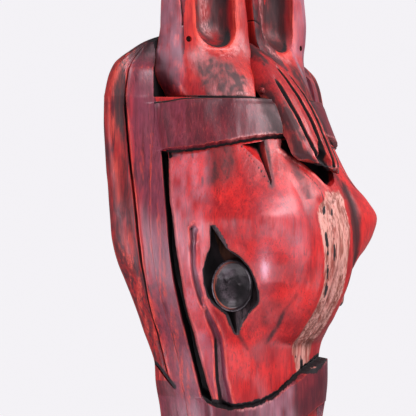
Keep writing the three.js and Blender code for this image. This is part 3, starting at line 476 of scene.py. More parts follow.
def relief(s, z, p, x, side):
    """How far the carving stands out of the smooth surface (mm), for one half. side is -1 or 1."""
    bt, be, nt, ne = carved_lines(s, side)
    wob = 0.5 * noise(p / 9.0, z / 9.0, x * 0 + side * 3.0, 11)
    below = z < SHELF_Z - 0.15
    h = np.zeros(s.shape)
    # brow band: full height from the groove inwards, flush with the strap at its outer end
    onband = step(0.35, -0.35, z - bt) * step(-0.35, 0.35, z - be)
    rise = step(3.2, 6.0, s)
    crown = 0.5 * np.sin(np.pi * np.clip((bt - z) / np.maximum(bt - be, 1), 0, 1))
    h += np.where(below, onband * rise * (BAND_PROUD - 0.4 + crown), 0)
    # knife lines along both band edges
    h -= np.where(below, 1.0 * np.exp(-(((z - be + 0.9) / 0.55) ** 2)) * step(5.4, 6.2, s), 0)
    # noseband
    onnose = step(0.4, -0.4, z - nt) * step(-0.4, 0.4, z - ne)
    h += onnose * step(3.4, 6.0, s) * (lerp(4.2, NOSEBAND_PROUD, step(7, 10, s)) + 0.5 * np.sin(np.pi * np.clip((nt - z) / np.maximum(nt - ne, 1), 0, 1)))
    h -= 1.1 * np.exp(-(((z - nt - 0.9) / 0.6) ** 2)) * step(6.0, 6.6, s)
    # groove between the strap and the face
    open_ = step(be[..., :] * 0 - 0.2, -1.4, z - be) * step(-0.5, 2.0, z - nt - 1.2)
    t = (s - 4) / 2
    prof = step(0.0, 0.16, t) * step(1.0, 0.72, t)
    head = 1 + 0.8 * np.exp(-(((z - be + 4) / 6.0) ** 2))
    h -= open_ * prof * (GROOVE_DEEP + 0.8 * wob) * np.minimum(head, 1.25)
    # the top corner of the groove is opened wide
    h -= 2.2 * np.exp(-(((z - be + 3.0) / 2.6) ** 2)) * step(6.0, 6.05, s) * step(6.85, 6.2, s) * step(-0.4, -1.4, z - be)
    # mane cut, a V with a raised inner lip
    width = 0.085 + 0.02 * wob
    v = np.clip(1 - np.abs(s - 2.0) / width, 0, 1)
    runs = step(-207, -196, z) * step(19, 10, z)
    h -= runs * v * MANE_CUT
    h += runs * 0.5 * np.exp(-(((s - 2.13) / 0.07) ** 2))
    h -= runs * 0.7 * np.exp(-(((s - 1.75) / 0.16) ** 2))
    # second, shallower cut nearer the strap in the lower part
    h -= 0.45 * np.exp(-(((s - 3.05) / 0.035) ** 2)) * step(-214, -150, z) * step(-120, -160, z)
    # gouged lines behind the eye: two strokes that pass each other
    for line, wid, dep in TEARS:
        d, sd, al = line_distance(p, z, line)
        w, deep = pchip(al, *wid), pchip(al, *dep)
        u = d * sd                                   # positive on the eye side
        shape = np.where(u < 0, step(-w, -w * 0.6, u), step(w * 1.1, w * 0.1, u))
        on = (z > nt + 0.4) * step(5.9, 6.2, s)
        h -= on * deep * shape
        h += on * 0.5 * np.exp(-(((np.abs(u) - w * 1.25) / 0.9) ** 2)) * (d < w * 2)
    # lids: the face swells a little round the eye
    ex, ez = (p - 10.0) * 0.707, z - EYE_Z
    poly = [(a * 1.0, b) for a, b in LIDS]
    dl = polygon_distance(ex, ez, poly)
    h += 0.9 * np.exp(-((np.clip(dl, 0, 30) / 4.0) ** 2)) * (s > 6)
    h += np.where(side < 0, 3.0, 1.0) * np.exp(-(((z + 139.0) / 10.5) ** 2)) * np.exp(-(((s - 9.2) / 0.9) ** 2))
    h += np.where(side < 0, 2.3, 0.6) * np.exp(-(((z + 137.0) / 7.0) ** 2)) * np.exp(-(((s - 8.95) / 0.42) ** 2))
    # shallow valleys beside the nose strip, and the long cuts in the bare stripe
    vz = step(-160, -140, z) * step(-70, -84, z)
    h -= 1.6 * vz * np.exp(-(((np.abs(x) - 23.0) / 3.6) ** 2)) * (s > 8.5)
    lo, hi = pchip(z, [b[0] for b in BLAZE][::-1], [b[1] for b in BLAZE][::-1]), pchip(z, [b[0] for b in BLAZE][::-1], [b[2] for b in BLAZE][::-1])
    xs = x * side
    inb = step(0, 1.2, xs - lo) * step(0, 1.2, hi - xs) * step(-199, -196, z) * step(-84, -90, z)
    tb = (xs - lo) / np.maximum(hi - lo, 4)
    h -= inb * (0.5 + 0.35 * noise(xs / 1.5, z / 24.0, xs * 0 + 2.0, 5)) * (s > 8.8)
    for c, wd, dp in ((0.17, 0.05, 0.9), (0.42, 0.07, 1.3), (0.80, 0.06, 0.5)):
        c = c + 0.04 * np.sin(z / 11.0 + c * 20)
        h -= inb * dp * np.exp(-(((tb - c) / wd) ** 2)) * (s > 8.8) * (0.7 + 0.5 * noise(xs * 0, z / 7.0, xs * 0 + c.mean() * 9, 8))
        h += inb * dp * 0.5 * np.exp(-(((tb - c - wd * 2.2) / wd) ** 2)) * (s > 8.8)
    # knife facets and tool marks
    h += np.where(s > 0.6, 0.32 * noise(p / 13.0, z / 17.0, x * 0 + side, 21) + 0.13 * noise(p / 4.2, z / 11.0, x * 0 + side * 2, 22), 0) * step(0.4, 1.4, s)
    return np.where(below | (s < 4), h, 0) * 1.0


def half_surface(side):
    sc = column_values()
    s = np.tile(sc, (1, 1))
    z = row_lines(sc, side)                                   # (rows, cols)
    s = np.broadcast_to(sc, z.shape)
    P = base_points(s, z)
    xyz = np.stack([P[..., 0] * side, -P[..., 1], z], -1)
    du = np.gradient(xyz, axis=1)
    dv = np.gradient(xyz, axis=0)
    nrm = np.cross(du, dv)
    nrm /= np.linalg.norm(nrm, axis=-1, keepdims=True) + 1e-9
    want = np.stack([np.full(z.shape, 0.7 * side), np.full(z.shape, -0.7), z * 0], -1)
    nrm *= np.sign((nrm * want).sum(-1, keepdims=True))
    # near the ledge the rows turn over, so the carving goes straight out there
    flat = np.stack([P[..., 0] * side * 0.6 + side * 10, -P[..., 1] - 10, z * 0], -1)
    flat /= np.linalg.norm(flat, axis=-1, keepdims=True)
    k = step(-30, -24, z)[..., None]
    nrm = nrm * (1 - k) + flat * k
    nrm /= np.linalg.norm(nrm, axis=-1, keepdims=True)
    hgt = relief(s, z, P[..., 1] - P[..., 0], xyz[..., 0], side)
    keep = step(0.05, 0.8, s)                            # the back edge stays in its plane
    out = xyz + nrm * (hgt * keep)[..., None]
    out[:, -1, 0] = 0.0
    out[..., 1] = np.minimum(out[..., 1], -0.0)
    out[:, 0, 1] = xyz[:, 0, 1]
    out[..., 2] = np.where(np.abs(z - 23) < 1e-6, z, out[..., 2])
    out[..., 1] = np.maximum(out[..., 1], -108.75)
    return out


def outer_block():
    L, R = half_surface(1), half_surface(-1)
    rings = np.concatenate([L, R[:, -2::-1]], 1)
    rings[:, len(L[0]) - 1, 1] = (L[:, -1, 1] + R[:, -1, 1]) / 2
    return solid("outer", rings)


def hollow_block():
    rows = [[-58, 0.42], [-62, 0.56], [-70, 0.68], [-82, 0.76], [-100, WALL_K], [-119.5, WALL_K], [-138.4, WALL_K], [-150.9, WALL_K], [-163.5, WALL_K],
            [-182.4, 0.79], [-200, 0.75], [-216, 0.66], [-228, 0.5], [-237, 0.3]]
    f = 1.0
    zs = np.concatenate([-58 - 12 * (np.linspace(0, 1, int(12 * f)) ** 1.5), np.linspace(-72, -216, int(84 * f)), -216 - 21 * (1 - (1 - np.linspace(0.05, 1, int(14 * f))) ** 1.5)])
    kk = pchip(zs, [r[0] for r in rows][::-1], [r[1] for r in rows][::-1])
    K = pchip(zs, ROW_Z, ROW_K)
    A, B, C, D, E, F, G, I = (K[:, i] for i in range(8))
    pts = np.stack([A, B, (C + D) / 2, E, F, G * 0.98, I * np.array([1, 0.95])], 1) * kk[:, None, None]
    n = int(46 * f)
    seg = np.linalg.norm(np.diff(pts, axis=1), axis=-1)
    u = np.concatenate([np.zeros((len(zs), 1)), np.cumsum(seg, 1)], 1)
    u /= u[:, -1:]
    t = np.linspace(0, 1, n)
    half = np.empty((len(zs), n, 2))
    for r in range(len(zs)):
        half[r] = pchip(t, u[r], pts[r])
    # gouge scallops: rows of shallow strokes running down the hollow
    ph = t[None] * 24 + 0.6 * noise(t[None] * 9, zs[:, None] / 30, t[None] * 0, 31)
    stroke = np.abs(np.sin(np.pi * ph)) ** 0.7 * 0.9 + 0.5 * noise(t[None] * 30, zs[:, None] / 13, t[None] * 0, 32)
    inward = half / (np.linalg.norm(half, axis=-1, keepdims=True) + 1e-6)
    fade = step(0.0, 0.06, t)[None] * step(-237, -228, zs)[:, None] * step(-58, -64, zs)[:, None]
    half = half + inward * ((stroke - 0.9) * fade)[..., None]
    half[:, -1, 0] = 0
    L = np.concatenate([np.stack([half[:, :1, 0], np.full((len(zs), 1), 6.0), zs[:, None]], -1), np.stack([half[..., 0], -half[..., 1], np.repeat(zs[:, None], n, 1)], -1)], 1)
    R = L * np.array([-1, 1, 1])
    return solid("hollow", np.concatenate([L, R[:, -2::-1]], 1))


def eye_point(u, n, dz, side):
    r = math.sqrt(0.5)
    return np.stack(np.broadcast_arrays(side * (EYE_X + r * (n - u)), -(EYE_D + r * (n + u)), EYE_Z + dz), -1)


def dense(poly, gap=1.2, smooth=2, closed=True):
    """A closed outline resampled about every gap, with its corners kept where it turns sharply."""
    pts = np.array(poly, float)
    out = []
    n = len(pts)
    for k in range(n):
        a, b = pts[k], pts[(k + 1) % n]
        m = max(1, int(round(np.linalg.norm(b - a) / gap)))
        for i in range(m):
            out.append(a + (b - a) * i / m)
    out = np.array(out)
    for _ in range(smooth):
        prev, nxt = np.roll(out, 1, 0), np.roll(out, -1, 0)
        turn = np.abs(np.cross(out - prev, nxt - out)) / (np.linalg.norm(out - prev, axis=1) * np.linalg.norm(nxt - out, axis=1) + 1e-9)
        w = np.where(turn > 0.6, 0.0, 0.5)[:, None]
        out = out * (1 - w) + (prev + nxt) / 2 * w
    return out


def eye_socket(side):
    o = dense(LIDS, 1.3, 3)
    u, v = o[:, 0], o[:, 1]
    rings = []
    for n_, grow in ((26, 1.0), (3.5, 1.0), (1.2, 1.0)):
        rings.append(eye_point(u * grow, np.full(len(u), n_), v * grow, side))
    for f in (0.25, 0.5, 0.75, 1.0):
        g = 1 - 0.05 * f
        rings.append(eye_point(u * g, lerp(1.2, -(EYE_FLOOR + EYE_TILT * u), f), v * g, side))
    return solid("socket", rings)


def prism_y(outline, d0, d1, side, name="prism"):
    o = dense(outline, 2.0, 0)
    mk = lambda d: np.stack([o[:, 0] * side, np.full(len(o), -float(d)), o[:, 1]], -1)
    return solid(name, [mk(d0), mk(d1)])


def bar_y(r, x, z, d0, d1, sides=32, name="bar"):
    a = np.linspace(0, 2 * np.pi, sides, endpoint=False)
    mk = lambda d: np.stack([x + r * np.cos(a), np.full(sides, -float(d)), z + r * np.sin(a)], -1)
    return solid(name, [mk(d0), mk(d1)])


def bar_z(r, x, d, z0, z1, sides=32):
    a = np.linspace(0, 2 * np.pi, sides, endpoint=False)
    mk = lambda z: np.stack([x + r * np.cos(a), -d + r * np.sin(a), np.full(sides, float(z))], -1)
    return solid("bar", [mk(z0), mk(z1)])


def box_solid(x0, x1, y0, y1, z0, z1):
    mk = lambda z: np.array([(x0, y0, z), (x1, y0, z), (x1, y1, z), (x0, y1, z)], float)
    return solid("box", [mk(z0), mk(z1)])


def chip_solid(side):
    """A leaning V cut under the brow band: two facets meeting in a line that runs out at the tip."""
    left, right, tip = (np.array(v, float) for v in ((45.5, 65.8, -53.2), (30.6, 77.6, -50.2), (38.2, 85.8, -78.6)))
    apex, out = np.array((29.6, 63.0, -50.8)), np.array((0.707, 0.707, 0))
    far = lambda v: v + (v - apex) * 0.7
    turn = lambda v: np.array((side * v[0], -v[1], v[2]))
    return solid("chip", [np.array([turn(far(left)), turn(far(right)), turn(tip + out * 8)]),
                          np.array([turn(apex + (0.25, -0.25, 0)), turn(apex - (0.25, -0.25, 0)), turn(tip - out * 0.4)])])


def mane_end_solid(side):
    """A knife cut that ends the mane: steep below, easy above, and short of the back edge."""
    rings = []
    for x, d, z, deep in ((57.0, 0.7, -193.2, 1.0), (58.2, 2.2, -195.0, 3.4), (58.6, 5.5, -197.6, 5.0), (58.2, 10, -202.2, 4.6), (56.2, 14.6, -207.4, 2.8), (54.6, 16.6, -209.8, 0.3)):
        n = np.array((0.97, 0.24, 0.0))
        p = np.array((x, d, z))
        tri = [p - n * deep + np.array((0, 0, -0.8)), p + n * 7 + np.array((0, 0, 2.4 if deep > 1 else 1.0)), p + n * 7 - np.array((0, 0, 2.6 if deep > 1 else 0.8))]
        rings.append(np.array([(side * v[0], -v[1], v[2]) for v in tri]))
    return solid("mane_end", rings)


def nostril(side):
    """A gouged hollow on each side of the muzzle."""
    rings = []
    for k in range(1, 16):
        t = k / 16 * math.pi
        a = np.linspace(0, 2 * np.pi, 28, endpoint=False)
        r = 8 * math.sin(t)
        x, y, z = 0.75 * r * np.cos(a), np.full(28, 0.8 * 8 * math.cos(t)), 1.15 * r * np.sin(a)
        c, s_ = math.cos(0.5 * side), math.sin(0.5 * side)
        rings.append(np.stack([24 * side + x * c, -75 + y - x * s_ * 0.0 + 0 * c, z - 262], -1) + np.stack([0 * x, -x * s_, 0 * x], -1))
    return solid("nostril", rings)


def mouth_solid():
    """The mouth line: a saw cut round the muzzle that stops at a core."""
    out = [(-60, -20), (-60, -95), (60, -95), (60, -20)]
    core = [(37, -30), (34, -50), (25, -61), (12, -68), (-12, -68), (-25, -61), (-34, -50), (-37, -30)]
    pts = np.array(out + core, float)
    lay = lambda z, w: np.stack([pts[:, 0], pts[:, 1], np.full(len(pts), z)], -1)
    v = np.concatenate([lay(-286.2, 0), lay(-283.6, 0)])
    n = len(pts)
    k = np.arange(n)
    walls = np.stack([k, (k + 1) % n, n + (k + 1) % n, n + k], -1)
    # the ring between the outer box and the core, in quads
    pairs = [(0, 1, 10, 11), (1, 2, 7, 8), (2, 3, 4, 5)]
    tri = [(0, 1, 11), (1, 10, 11), (1, 9, 10), (1, 8, 9), (1, 2, 8), (2, 7, 8), (2, 6, 7), (2, 5, 6), (2, 4, 5), (2, 3, 4)]
    tri = np.array(tri)
    return mesh_object("mouth", v, [walls, tri[:, ::-1], tri + n])


def undercut_solid():
    """The deep cut under the forelock's tips."""
    o = dense([(-21.5, -54.5), (-11, -63.6), (-5, -70.4), (0, -78.4), (5, -80), (12, -77), (17, -70), (12, -58), (-4, -49), (-18, -49)], 1.6, 2)
    floor = 68.5 + (-50 - o[:, 1]) * 0.70 - 0.02 * (o[:, 0] + 3) ** 2 * 0.3
    low = np.stack([o[:, 0] * 0.9 + 0.0, -floor, o[:, 1] * 0.97 - 1.8], -1)
    return solid("undercut", [np.stack([o[:, 0], np.full(len(o), -125.0), o[:, 1]], -1), low])


def board_cutter(side, grow):
    seam = lambda x, z: SEAM_A + SEAM_B * x + SEAM_C * z
    xin = lambda z: 46 + (z + 60) * 0.11
    def ring(z, full):
        x0, x1 = xin(z) - grow, 125.0
        d = lambda x: 70.0 if full else seam(x, z) + grow
        return np.array([(side * x0, 10, z), (side * x1, 10, z), (side * x1, -d(x1), z), (side * x0, -d(x0), z)], float)
    return solid("board_cutter", [ring(40, True), ring(SHELF_Z + 0.4 - grow, True), ring(SHELF_Z + 0.2 - grow, False), ring(BOARD_END_Z - grow, False)])


# ------------------------------------------------------------------ forelock
LOCK = np.array(FORELOCK, float)
LOCK_T = np.linspace(0, 1, len(FORELOCK))


LOCK_CUTS = ((0.28, 0.33, 0.97, 2.8), (0.52, 0.24, 0.99, 3.0), (0.74, 0.28, 0.97, 2.6), (0.89, 0.36, 0.94, 1.5))


def lock_rings(grow=0.0, tip_grow=None, cols=56, rows=120, carve=True):
    """Rings round the lock: the front from the left edge to the right edge, then back under it."""
    tip_grow = grow if tip_grow is None else tip_grow
    t = np.linspace(0, 1, rows)
    v = pchip(t, LOCK_T, LOCK)
    rings = []
    for k in range(rows):
        zl, zr, xl, xr, df, db = v[k]
        tip = step(0.68, 0.8, t[k])
        g = lerp(grow, tip_grow, tip)
        xl, xr, df, db = xl - g, xr + lerp(grow, tip_grow * 0.5, tip), df + grow, db - g
        thick = df - db
        # front: a flattened arch
        a = np.linspace(0, 1, cols)
        arch = np.clip(1 - np.abs(2 * a - 1) ** 3.2, 0, 1) ** 0.55
        hug = 7.5 * float(step(0.72, 0.95, t[k])) * np.clip(1 - a / 0.34, 0, 1) ** 1.5
        front = db + thick * (0.33 + 0.67 * arch) - hug
        x = xl + (xr - xl) * a
        z = zl + (zr - zl) * a
        if carve:
            cutd = np.zeros(cols)
            edges = [0.0]
            for c, t0, t1, deep in LOCK_CUTS:
                c2 = c + 0.03 * math.sin(t[k] * 5 + c * 9)
                edges.append(c2)
                run = float(step(t0, t0 + 0.10, t[k]) * step(t1 + 0.05, t1 - 0.02, t[k]))
                cutd += run * deep * 1.15 * np.clip(1 - np.abs(a - c2) / 0.044, 0, 1) ** 0.8
            edges.append(1.0)
            i = np.clip(np.searchsorted(edges, a) - 1, 0, len(edges) - 2)
            e = np.array(edges)
            uu = (a - e[i]) / (e[i + 1] - e[i])
            bulge = 0.9 * (1 - (2 * uu - 1) ** 2) * float(step(0.25, 0.5, t[k]))
            fibre = 0.16 * noise(a * 60, a * 0 + t[k] * 6, a * 0, 55)
            front = front - cutd + (bulge - 0.9 * float(step(0.25, 0.5, t[k]))) + fibre
            # the split between the two tips
            wide = 0.02 + 0.15 * float(step(0.76, 1.0, t[k]))
            split = float(step(0.76, 0.86, t[k])) * np.clip(1.25 - np.abs(a - 0.47) / wide, 0, 1)
            front = np.maximum(front - split * 9.0, db + 0.9 - hug)
            z = z + float(step(0.88, 1.0, t[k])) * (1.6 * noise(a * 11, a * 0, a * 0, 57) - 2.0 * np.abs(a - 0.25) * (a < 0.5) + 1.2)
        top = np.stack([x, -front, z], -1)
        b = np.linspace(1, 0, 20)[1:-1]
        under = db + thick * (0.33 * np.abs(2 * b - 1) ** 4) - np.interp(b, a, hug)
        bx = xl + (xr - xl) * b
        bz = np.interp(b, a, z)
        bottom = np.stack([bx, -under, bz], -1)
        rings.append(np.concatenate([top, bottom]))
    rings = np.array(rings)
    if grow or tip_grow:
        rings[0, :, 2] += grow
        rings[-1, :, 2] -= tip_grow
    return rings


# ------------------------------------------------------------------ ears
EAR_Z = np.array([r[0] for r in EAR])
EAR_K = np.array([r[1:] for r in EAR], float)
SCOOP_Z = [10.4, 12, 14, 17, 20, 25, 30, 45, 60, 75, 90, 103, 111]
SCOOP_D = [0.0, 5.0, 8.0, 11.0, 12.8, 14.6, 15.4, 15.6, 14.2, 11.8, 8.4, 3.6, 0.3]


def scoop(x, z):
    """Depth of an ear's hollow, and the share of the way from its middle to its rim."""
    K = pchip(z, EAR_Z, EAR_K)
    C, E = K[..., 3, 0], K[..., 7, 0]
    mid, half = (C + E) / 2, np.maximum((C - E) / 2, 1.0)
    low = np.clip((27.0 - z) / 16.6, 0, 3)
    rho = np.hypot((x - mid - 0.9 * low * low) / half, low)
    bowl = pchip(z, SCOOP_Z, SCOOP_D) * np.clip(1 - rho**2.6, 0, 1) ** 0.62
    edge = step(1.42, 0.98, rho) * 1.9 * step(118, 96, z)
    return np.where(z > 2, bowl + edge, 0), rho


def ear_rings(side):
    f = 1.0
    zs = np.concatenate([np.linspace(-21.7, 4, int(28 * f)), np.linspace(4.5, 32, int(58 * f)), np.linspace(33.1, 104, int(68 * f)), 104 + 14 * (1 - (1 - np.linspace(0.08, 1, int(18 * f))) ** 1.6)])
    K = pchip(zs, EAR_Z, EAR_K)                         # (rows, 9, 2)
    # the front before it is hollowed: bowed from rim to rim, easing into the swelling below
    t5 = np.array([0.27, 0.5, 0.73])
    for j, tt in enumerate(t5):
        bow = K[:, 3] + (K[:, 7] - K[:, 3]) * tt
        bow[:, 1] += 1.8
        low = K[:, 4 + j]
        k = step(3, 13, zs)[:, None]
        K[:, 4 + j] = low * (1 - k) + bow * k
    counts = [int(c * f) for c in (34, 16, 26, 72, 20, 22)]
    rings = []
    for r, z in enumerate(zs):
        k = K[r]

        def seg(a, b, n, bulge=0.0):
            t = np.arange(n)[:, None] / n
            q = a + (b - a) * t
            nrm = np.array([(b - a)[1], -(b - a)[0]])
            nrm = nrm / (np.linalg.norm(nrm) + 1e-9)
            return q + nrm * bulge * 4 * t * (1 - t)
        front = pchip(np.arange(counts[3]) / counts[3], np.array([0, t5[0], t5[1], t5[2], 1.0]), np.array([k[3], k[4], k[5], k[6], k[7]]))
        ring = np.concatenate([seg(k[0], k[1], counts[0]), seg(k[1], k[2], counts[1], 0.7), seg(k[2], k[3], counts[2], 0.6), front,
                               seg(k[7], k[8], counts[4], 0.3), seg(k[8], k[0], counts[5], 0.3)])
        crisp = ring.copy()
        for _ in range(5):
            ring = ring * 0.5 + (np.roll(ring, 1, 0) + np.roll(ring, -1, 0)) * 0.25
        stay = np.exp(-((np.hypot(*(crisp - k[1]).T) / 2.5) ** 2))[:, None] * float(step(-20, -10, z) * step(26, 14, z))
        ring = ring + (crisp - ring) * stay
        rings.append(np.concatenate([ring, np.full((len(ring), 1), z)], 1))
    R = np.array(rings)
    n = R.shape[1]
    x, d, z = R[..., 0], R[..., 1], R[..., 2]
    deep, rho = scoop(x, z)
    i0, i1 = counts[0] + counts[1], sum(counts[:5])
    face = np.zeros(n)
    face[i0:i1] = 1
    face = face[None] * np.clip((d - 12) / 6, 0, 1)
    inh = face * step(1.0, 0.85, rho)
    # strokes of the gouge inside the hollow, and knife facets outside
    h = inh * (0.32 * noise(x / 2.6, z / 30, x * 0 + side, 41) + 0.14 * noise(x / 1.1, z / 8, x * 0, 42))
    h = h + (1 - inh) * (0.28 * noise(x / 11, d / 11, z / 16 + side, 43) + 0.10 * noise(x / 3, d / 3, z / 9, 44))
    du = np.roll(R, -1, 1) - np.roll(R, 1, 1)
    nrm = np.stack([du[..., 1], -du[..., 0]], -1)
    nrm /= np.linalg.norm(nrm, axis=-1, keepdims=True) + 1e-9
    cen = R[..., :2].mean(1, keepdims=True)
    if ((nrm * (R[..., :2] - cen)).sum(-1).mean()) < 0:
        nrm = -nrm
    h = np.where(d < 8.9, 0, h)
    # a drying crack down the outer edge of one ear, and one across the rim of the other
    if side < 0:
        h = h - 1.1 * np.exp(-(((x - 58.6 - 0.6 * np.sin(z / 6)) / 0.5) ** 2)) * step(22.5, 25, z) * (d > 20)
    else:
        h = h - 0.8 * np.exp(-(((z - 30 + 0.35 * (x - 6)) / 0.5) ** 2)) * step(10.5, 8.5, x) * (d > 16)
    R[..., :2] += nrm * h[..., None]
    R[..., 1] -= deep * face
    R[..., 1] = np.maximum(R[..., 1], 8.3)
    return np.stack([R[..., 0] * side, -R[..., 1], R[..., 2]], -1)


# ------------------------------------------------------------------ build the wooden pieces
outer = outer_block()
cut(outer, hollow_block())
for sd in (1, -1):
    cut(outer, eye_socket(sd))
    cut(outer, prism_y(SLOT_UP, 18, 130, sd))
    cut(outer, prism_y(SLOT_DOWN, 22, 130, sd))
    cut(outer, chip_solid(sd))
    cut(outer, mane_end_solid(sd))
    cut(outer, nostril(sd))
cut(outer, mouth_solid())
lock_cut = solid("lock_cut", lock_rings(0.3, 1.2, 40, 60, False))
cut(outer, lock_cut, keep=True)
cut(outer, undercut_solid())
cut(outer, box_solid(-15, 15, -6.6, 5, -64, -10))

boards = {}
for nm, sd in (("right", -1), ("left", 1)):
    b = copy_of(outer, f"mane_board_{nm}_carved")
    cut(b, board_cutter(sd, 0.0), "INTERSECT")
    boards[nm] = b
for sd in (-1, 1):
    cut(outer, board_cutter(sd, 0.2))
head = outer
head.name = "head_carved"

ears = {}
for nm, sd in (("right", -1), ("left", 1)):
    e = solid(f"ear_{nm}_carved", ear_rings(sd))
    cut(e, lock_cut, keep=True)
    ears[nm] = e
lock = solid("forelock_carved", lock_rings(0.0, 0.0, 76, 150))

EAR_DOWELS = ((31, 33), (50, 23))
BOARD_DOWELS = ((62, -40, 6.5, 29), (40, -240, 8, 31))
NAIL_X, NAIL_Z = 53.5, 15.7
for nm, sd in (("right", -1), ("left", 1)):
    for x, d in EAR_DOWELS:
        for target in (head, ears[nm]):
            cut(target, bar_z(4.8, sd * x, d, -40.6, -4.4))
    for x, z, d0, d1 in BOARD_DOWELS:
        for target in (head, boards[nm]):
            cut(target, bar_y(4.3, sd * x, z, d0 - 0.6, d1 + 0.6))
    for target in (head, boards[nm], ears[nm]):
        cut(target, bar_y(1.4, sd * NAIL_X, NAIL_Z, 1.6, 60))
        cut(target, bar_y(2.0, sd * NAIL_X, NAIL_Z, 25.6, 60))
for z in (-19, -31):
    cut(head, bar_y(1.9, 0, z, 4, 22))
for target in (head, lock):
    cut(target, bar_y(3.3, 2, -36, 47.4, 76.6))
bead = bar_z(1.0, -15.0, 56.0, -1, 1, 24)
bead_rings = []
for h in np.linspace(-0.985, 0.985, 15):
    a = np.linspace(0, 2 * np.pi, 24, endpoint=False)
    w = math.sqrt(1 - h * h) * (1 + 0.10 * np.sin(3 * a + 4 * h))
    bead_rings.append(np.stack([-15.4 + 2.1 * w * np.cos(a), -(56.4 + 2.2 * w * np.sin(a)), np.full(24, -17.3 + 2.3 * h)], 1))
m = bead.data
bpy.data.objects.remove(bead)
bpy.data.meshes.remove(m)
bead = solid("bead", bead_rings)
if volume_of(bead.data) < 0:
    bead.data.flip_normals()
cut(lock, bead, "UNION")
m = lock_cut.data
bpy.data.objects.remove(lock_cut)
bpy.data.meshes.remove(m)

wooden = [head, boards["right"], boards["left"], ears["right"], ears["left"], lock]
for o in wooden:
    drop_crumbs(o)
    finish_shading(o, 38)
    print(o.name, len(o.data.vertices), len(o.data.polygons), round(volume_of(o.data)))


# ------------------------------------------------------------------ eyes
def eye_disc(side, name):
    n = 72
    a = np.linspace(0, 2 * np.pi, n, endpoint=False)
    prof = [(0.97, 0.4), (1.0, 0.7), (1.0, DISC_T - 1.0), (0.985, DISC_T - 0.3), (0.95, DISC_T), (0.915, DISC_T - 0.1), (0.895, DISC_T - 0.8)]
    r = 0.88
    k = 0
    while r > 0.04:
        ring = 0.13 * math.cos(k * 2.1) * max(0.12, (r - 0.62) * 3.2)
        prof.append((r, DISC_T - 1.0 - 3.3 * (1 - (r / 0.9) ** 2) + ring * (0.5 + r)))
        r -= 0.035
        k += 1
    rings = []
    for s_, h in prof:
        wob = 0.05 * np.sin(3 * a + s_ * 9)
        u = np.cos(a) * DISC_RX * s_ + DISC_U
        v = np.sin(a) * DISC_RZ * s_ + DISC_V
        dent = 0.0
        if h > 1:
            dent = -0.9 * np.exp(-(((u + 1.2) / 1.5) ** 2 + ((v + 0.6) / 1.7) ** 2)) - 0.5 * np.exp(-(((u - 0.9) / 1.1) ** 2 + ((v + 4.8) / 1.3) ** 2)) - 0.45 * np.exp(-(((u + 2.6) / 1.1) ** 2 + ((v - 3.2) / 1.1) ** 2))
            dent = dent + 0.16 * noise(u / 2.2, v / 2.2, u * 0, 61)
        rings.append(eye_point(u, -(EYE_FLOOR + EYE_TILT * u) + h + wob * 0 + dent, v, side))
    return solid(name, rings)


discs = {nm: eye_disc(sd, f"eye_disc_{nm}_turned") for nm, sd in (("right", -1), ("left", 1))}


# ------------------------------------------------------------------ paint masks, from each point's place
def surface_s(x, d, z):
    """About which column a point of the head lies in: only where it matters, near the strap and the groove."""
    K = pchip(z, ROW_Z, ROW_K)
    p = d - np.abs(x)
    kp = K[..., 1] - K[..., 0]                           # rising: back edge ... centre
    cols = np.array([0, 2, 4, 6, 7, 8, 9, 11], float)
    s = np.zeros(len(z))
    for i in range(7):
        a, b = kp[:, i], kp[:, i + 1]
        t = np.clip((p - a) / np.maximum(b - a, 1e-3), 0, 1)
        s = np.where(p >= a, cols[i] + (cols[i + 1] - cols[i]) * t, s)
    return s


def relax(ob, rounds):
    """How far each point lies below (positive) or above (negative) the smoothed surface, in mm."""
    me = ob.data
    e = np.empty(len(me.edges) * 2, np.int32)
    me.edges.foreach_get("vertices", e)
    e = e.reshape(-1, 2)
    i, j = np.concatenate([e[:, 0], e[:, 1]]), np.concatenate([e[:, 1], e[:, 0]])
    co = coords(me) / MM
    n = len(co)
    w = 1.0 / (np.linalg.norm(co[i] - co[j], axis=1) + 0.15)
    tot = np.bincount(i, w, n) + 1e-9
    cur = co.copy()
    for _ in range(rounds):
        nxt = np.stack([np.bincount(i, w * cur[j, k], n) / tot for k in range(3)], 1)
        cur = cur * 0.4 + nxt * 0.6
    nr = np.empty(n * 3, np.float32)
    me.vertices.foreach_get("normal", nr)
    return ((cur - co) * nr.reshape(-1, 3)).sum(1)


def cavities(ob):
    fine, broad = relax(ob, 5), relax(ob, 45)
    attribute(ob, "cav", np.clip(step(0.05, 0.45, fine) * 0.7 + step(0.15, 1.5, broad) * 0.75, 0, 1))
    attribute(ob, "ridge", np.clip(step(-0.05, -0.30, fine) * 0.7 + step(-0.2, -1.4, broad) * 0.6, 0, 1))


def hollow_share(x, d, z):
    """Distance from the axis at the back, as a share of the smooth outer surface's along the same ray."""
    K = pchip(z, ROW_Z, ROW_K)
    A, B, C, D, E, F, G, I = (K[:, i] for i in range(8))
    pts = np.stack([A, B, (C + D) / 2, E, F, G, I * np.array([1, 1.0])], 1)
    ang = np.arctan2(pts[..., 1], pts[..., 0])
    rad = np.hypot(pts[..., 0], pts[..., 1])
    th, r = np.arctan2(np.maximum(d, 0), np.abs(x)), np.hypot(x, d)
    out = rad[:, 0].copy()
    for i in range(6):
        t = np.clip((th - ang[:, i]) / np.maximum(ang[:, i + 1] - ang[:, i], 1e-4), 0, 1)
        # straight between the two points
        q = pts[:, i] + (pts[:, i + 1] - pts[:, i]) * t[:, None]
        out = np.where(th >= ang[:, i], np.hypot(q[:, 0], q[:, 1]), out)
    return r / out


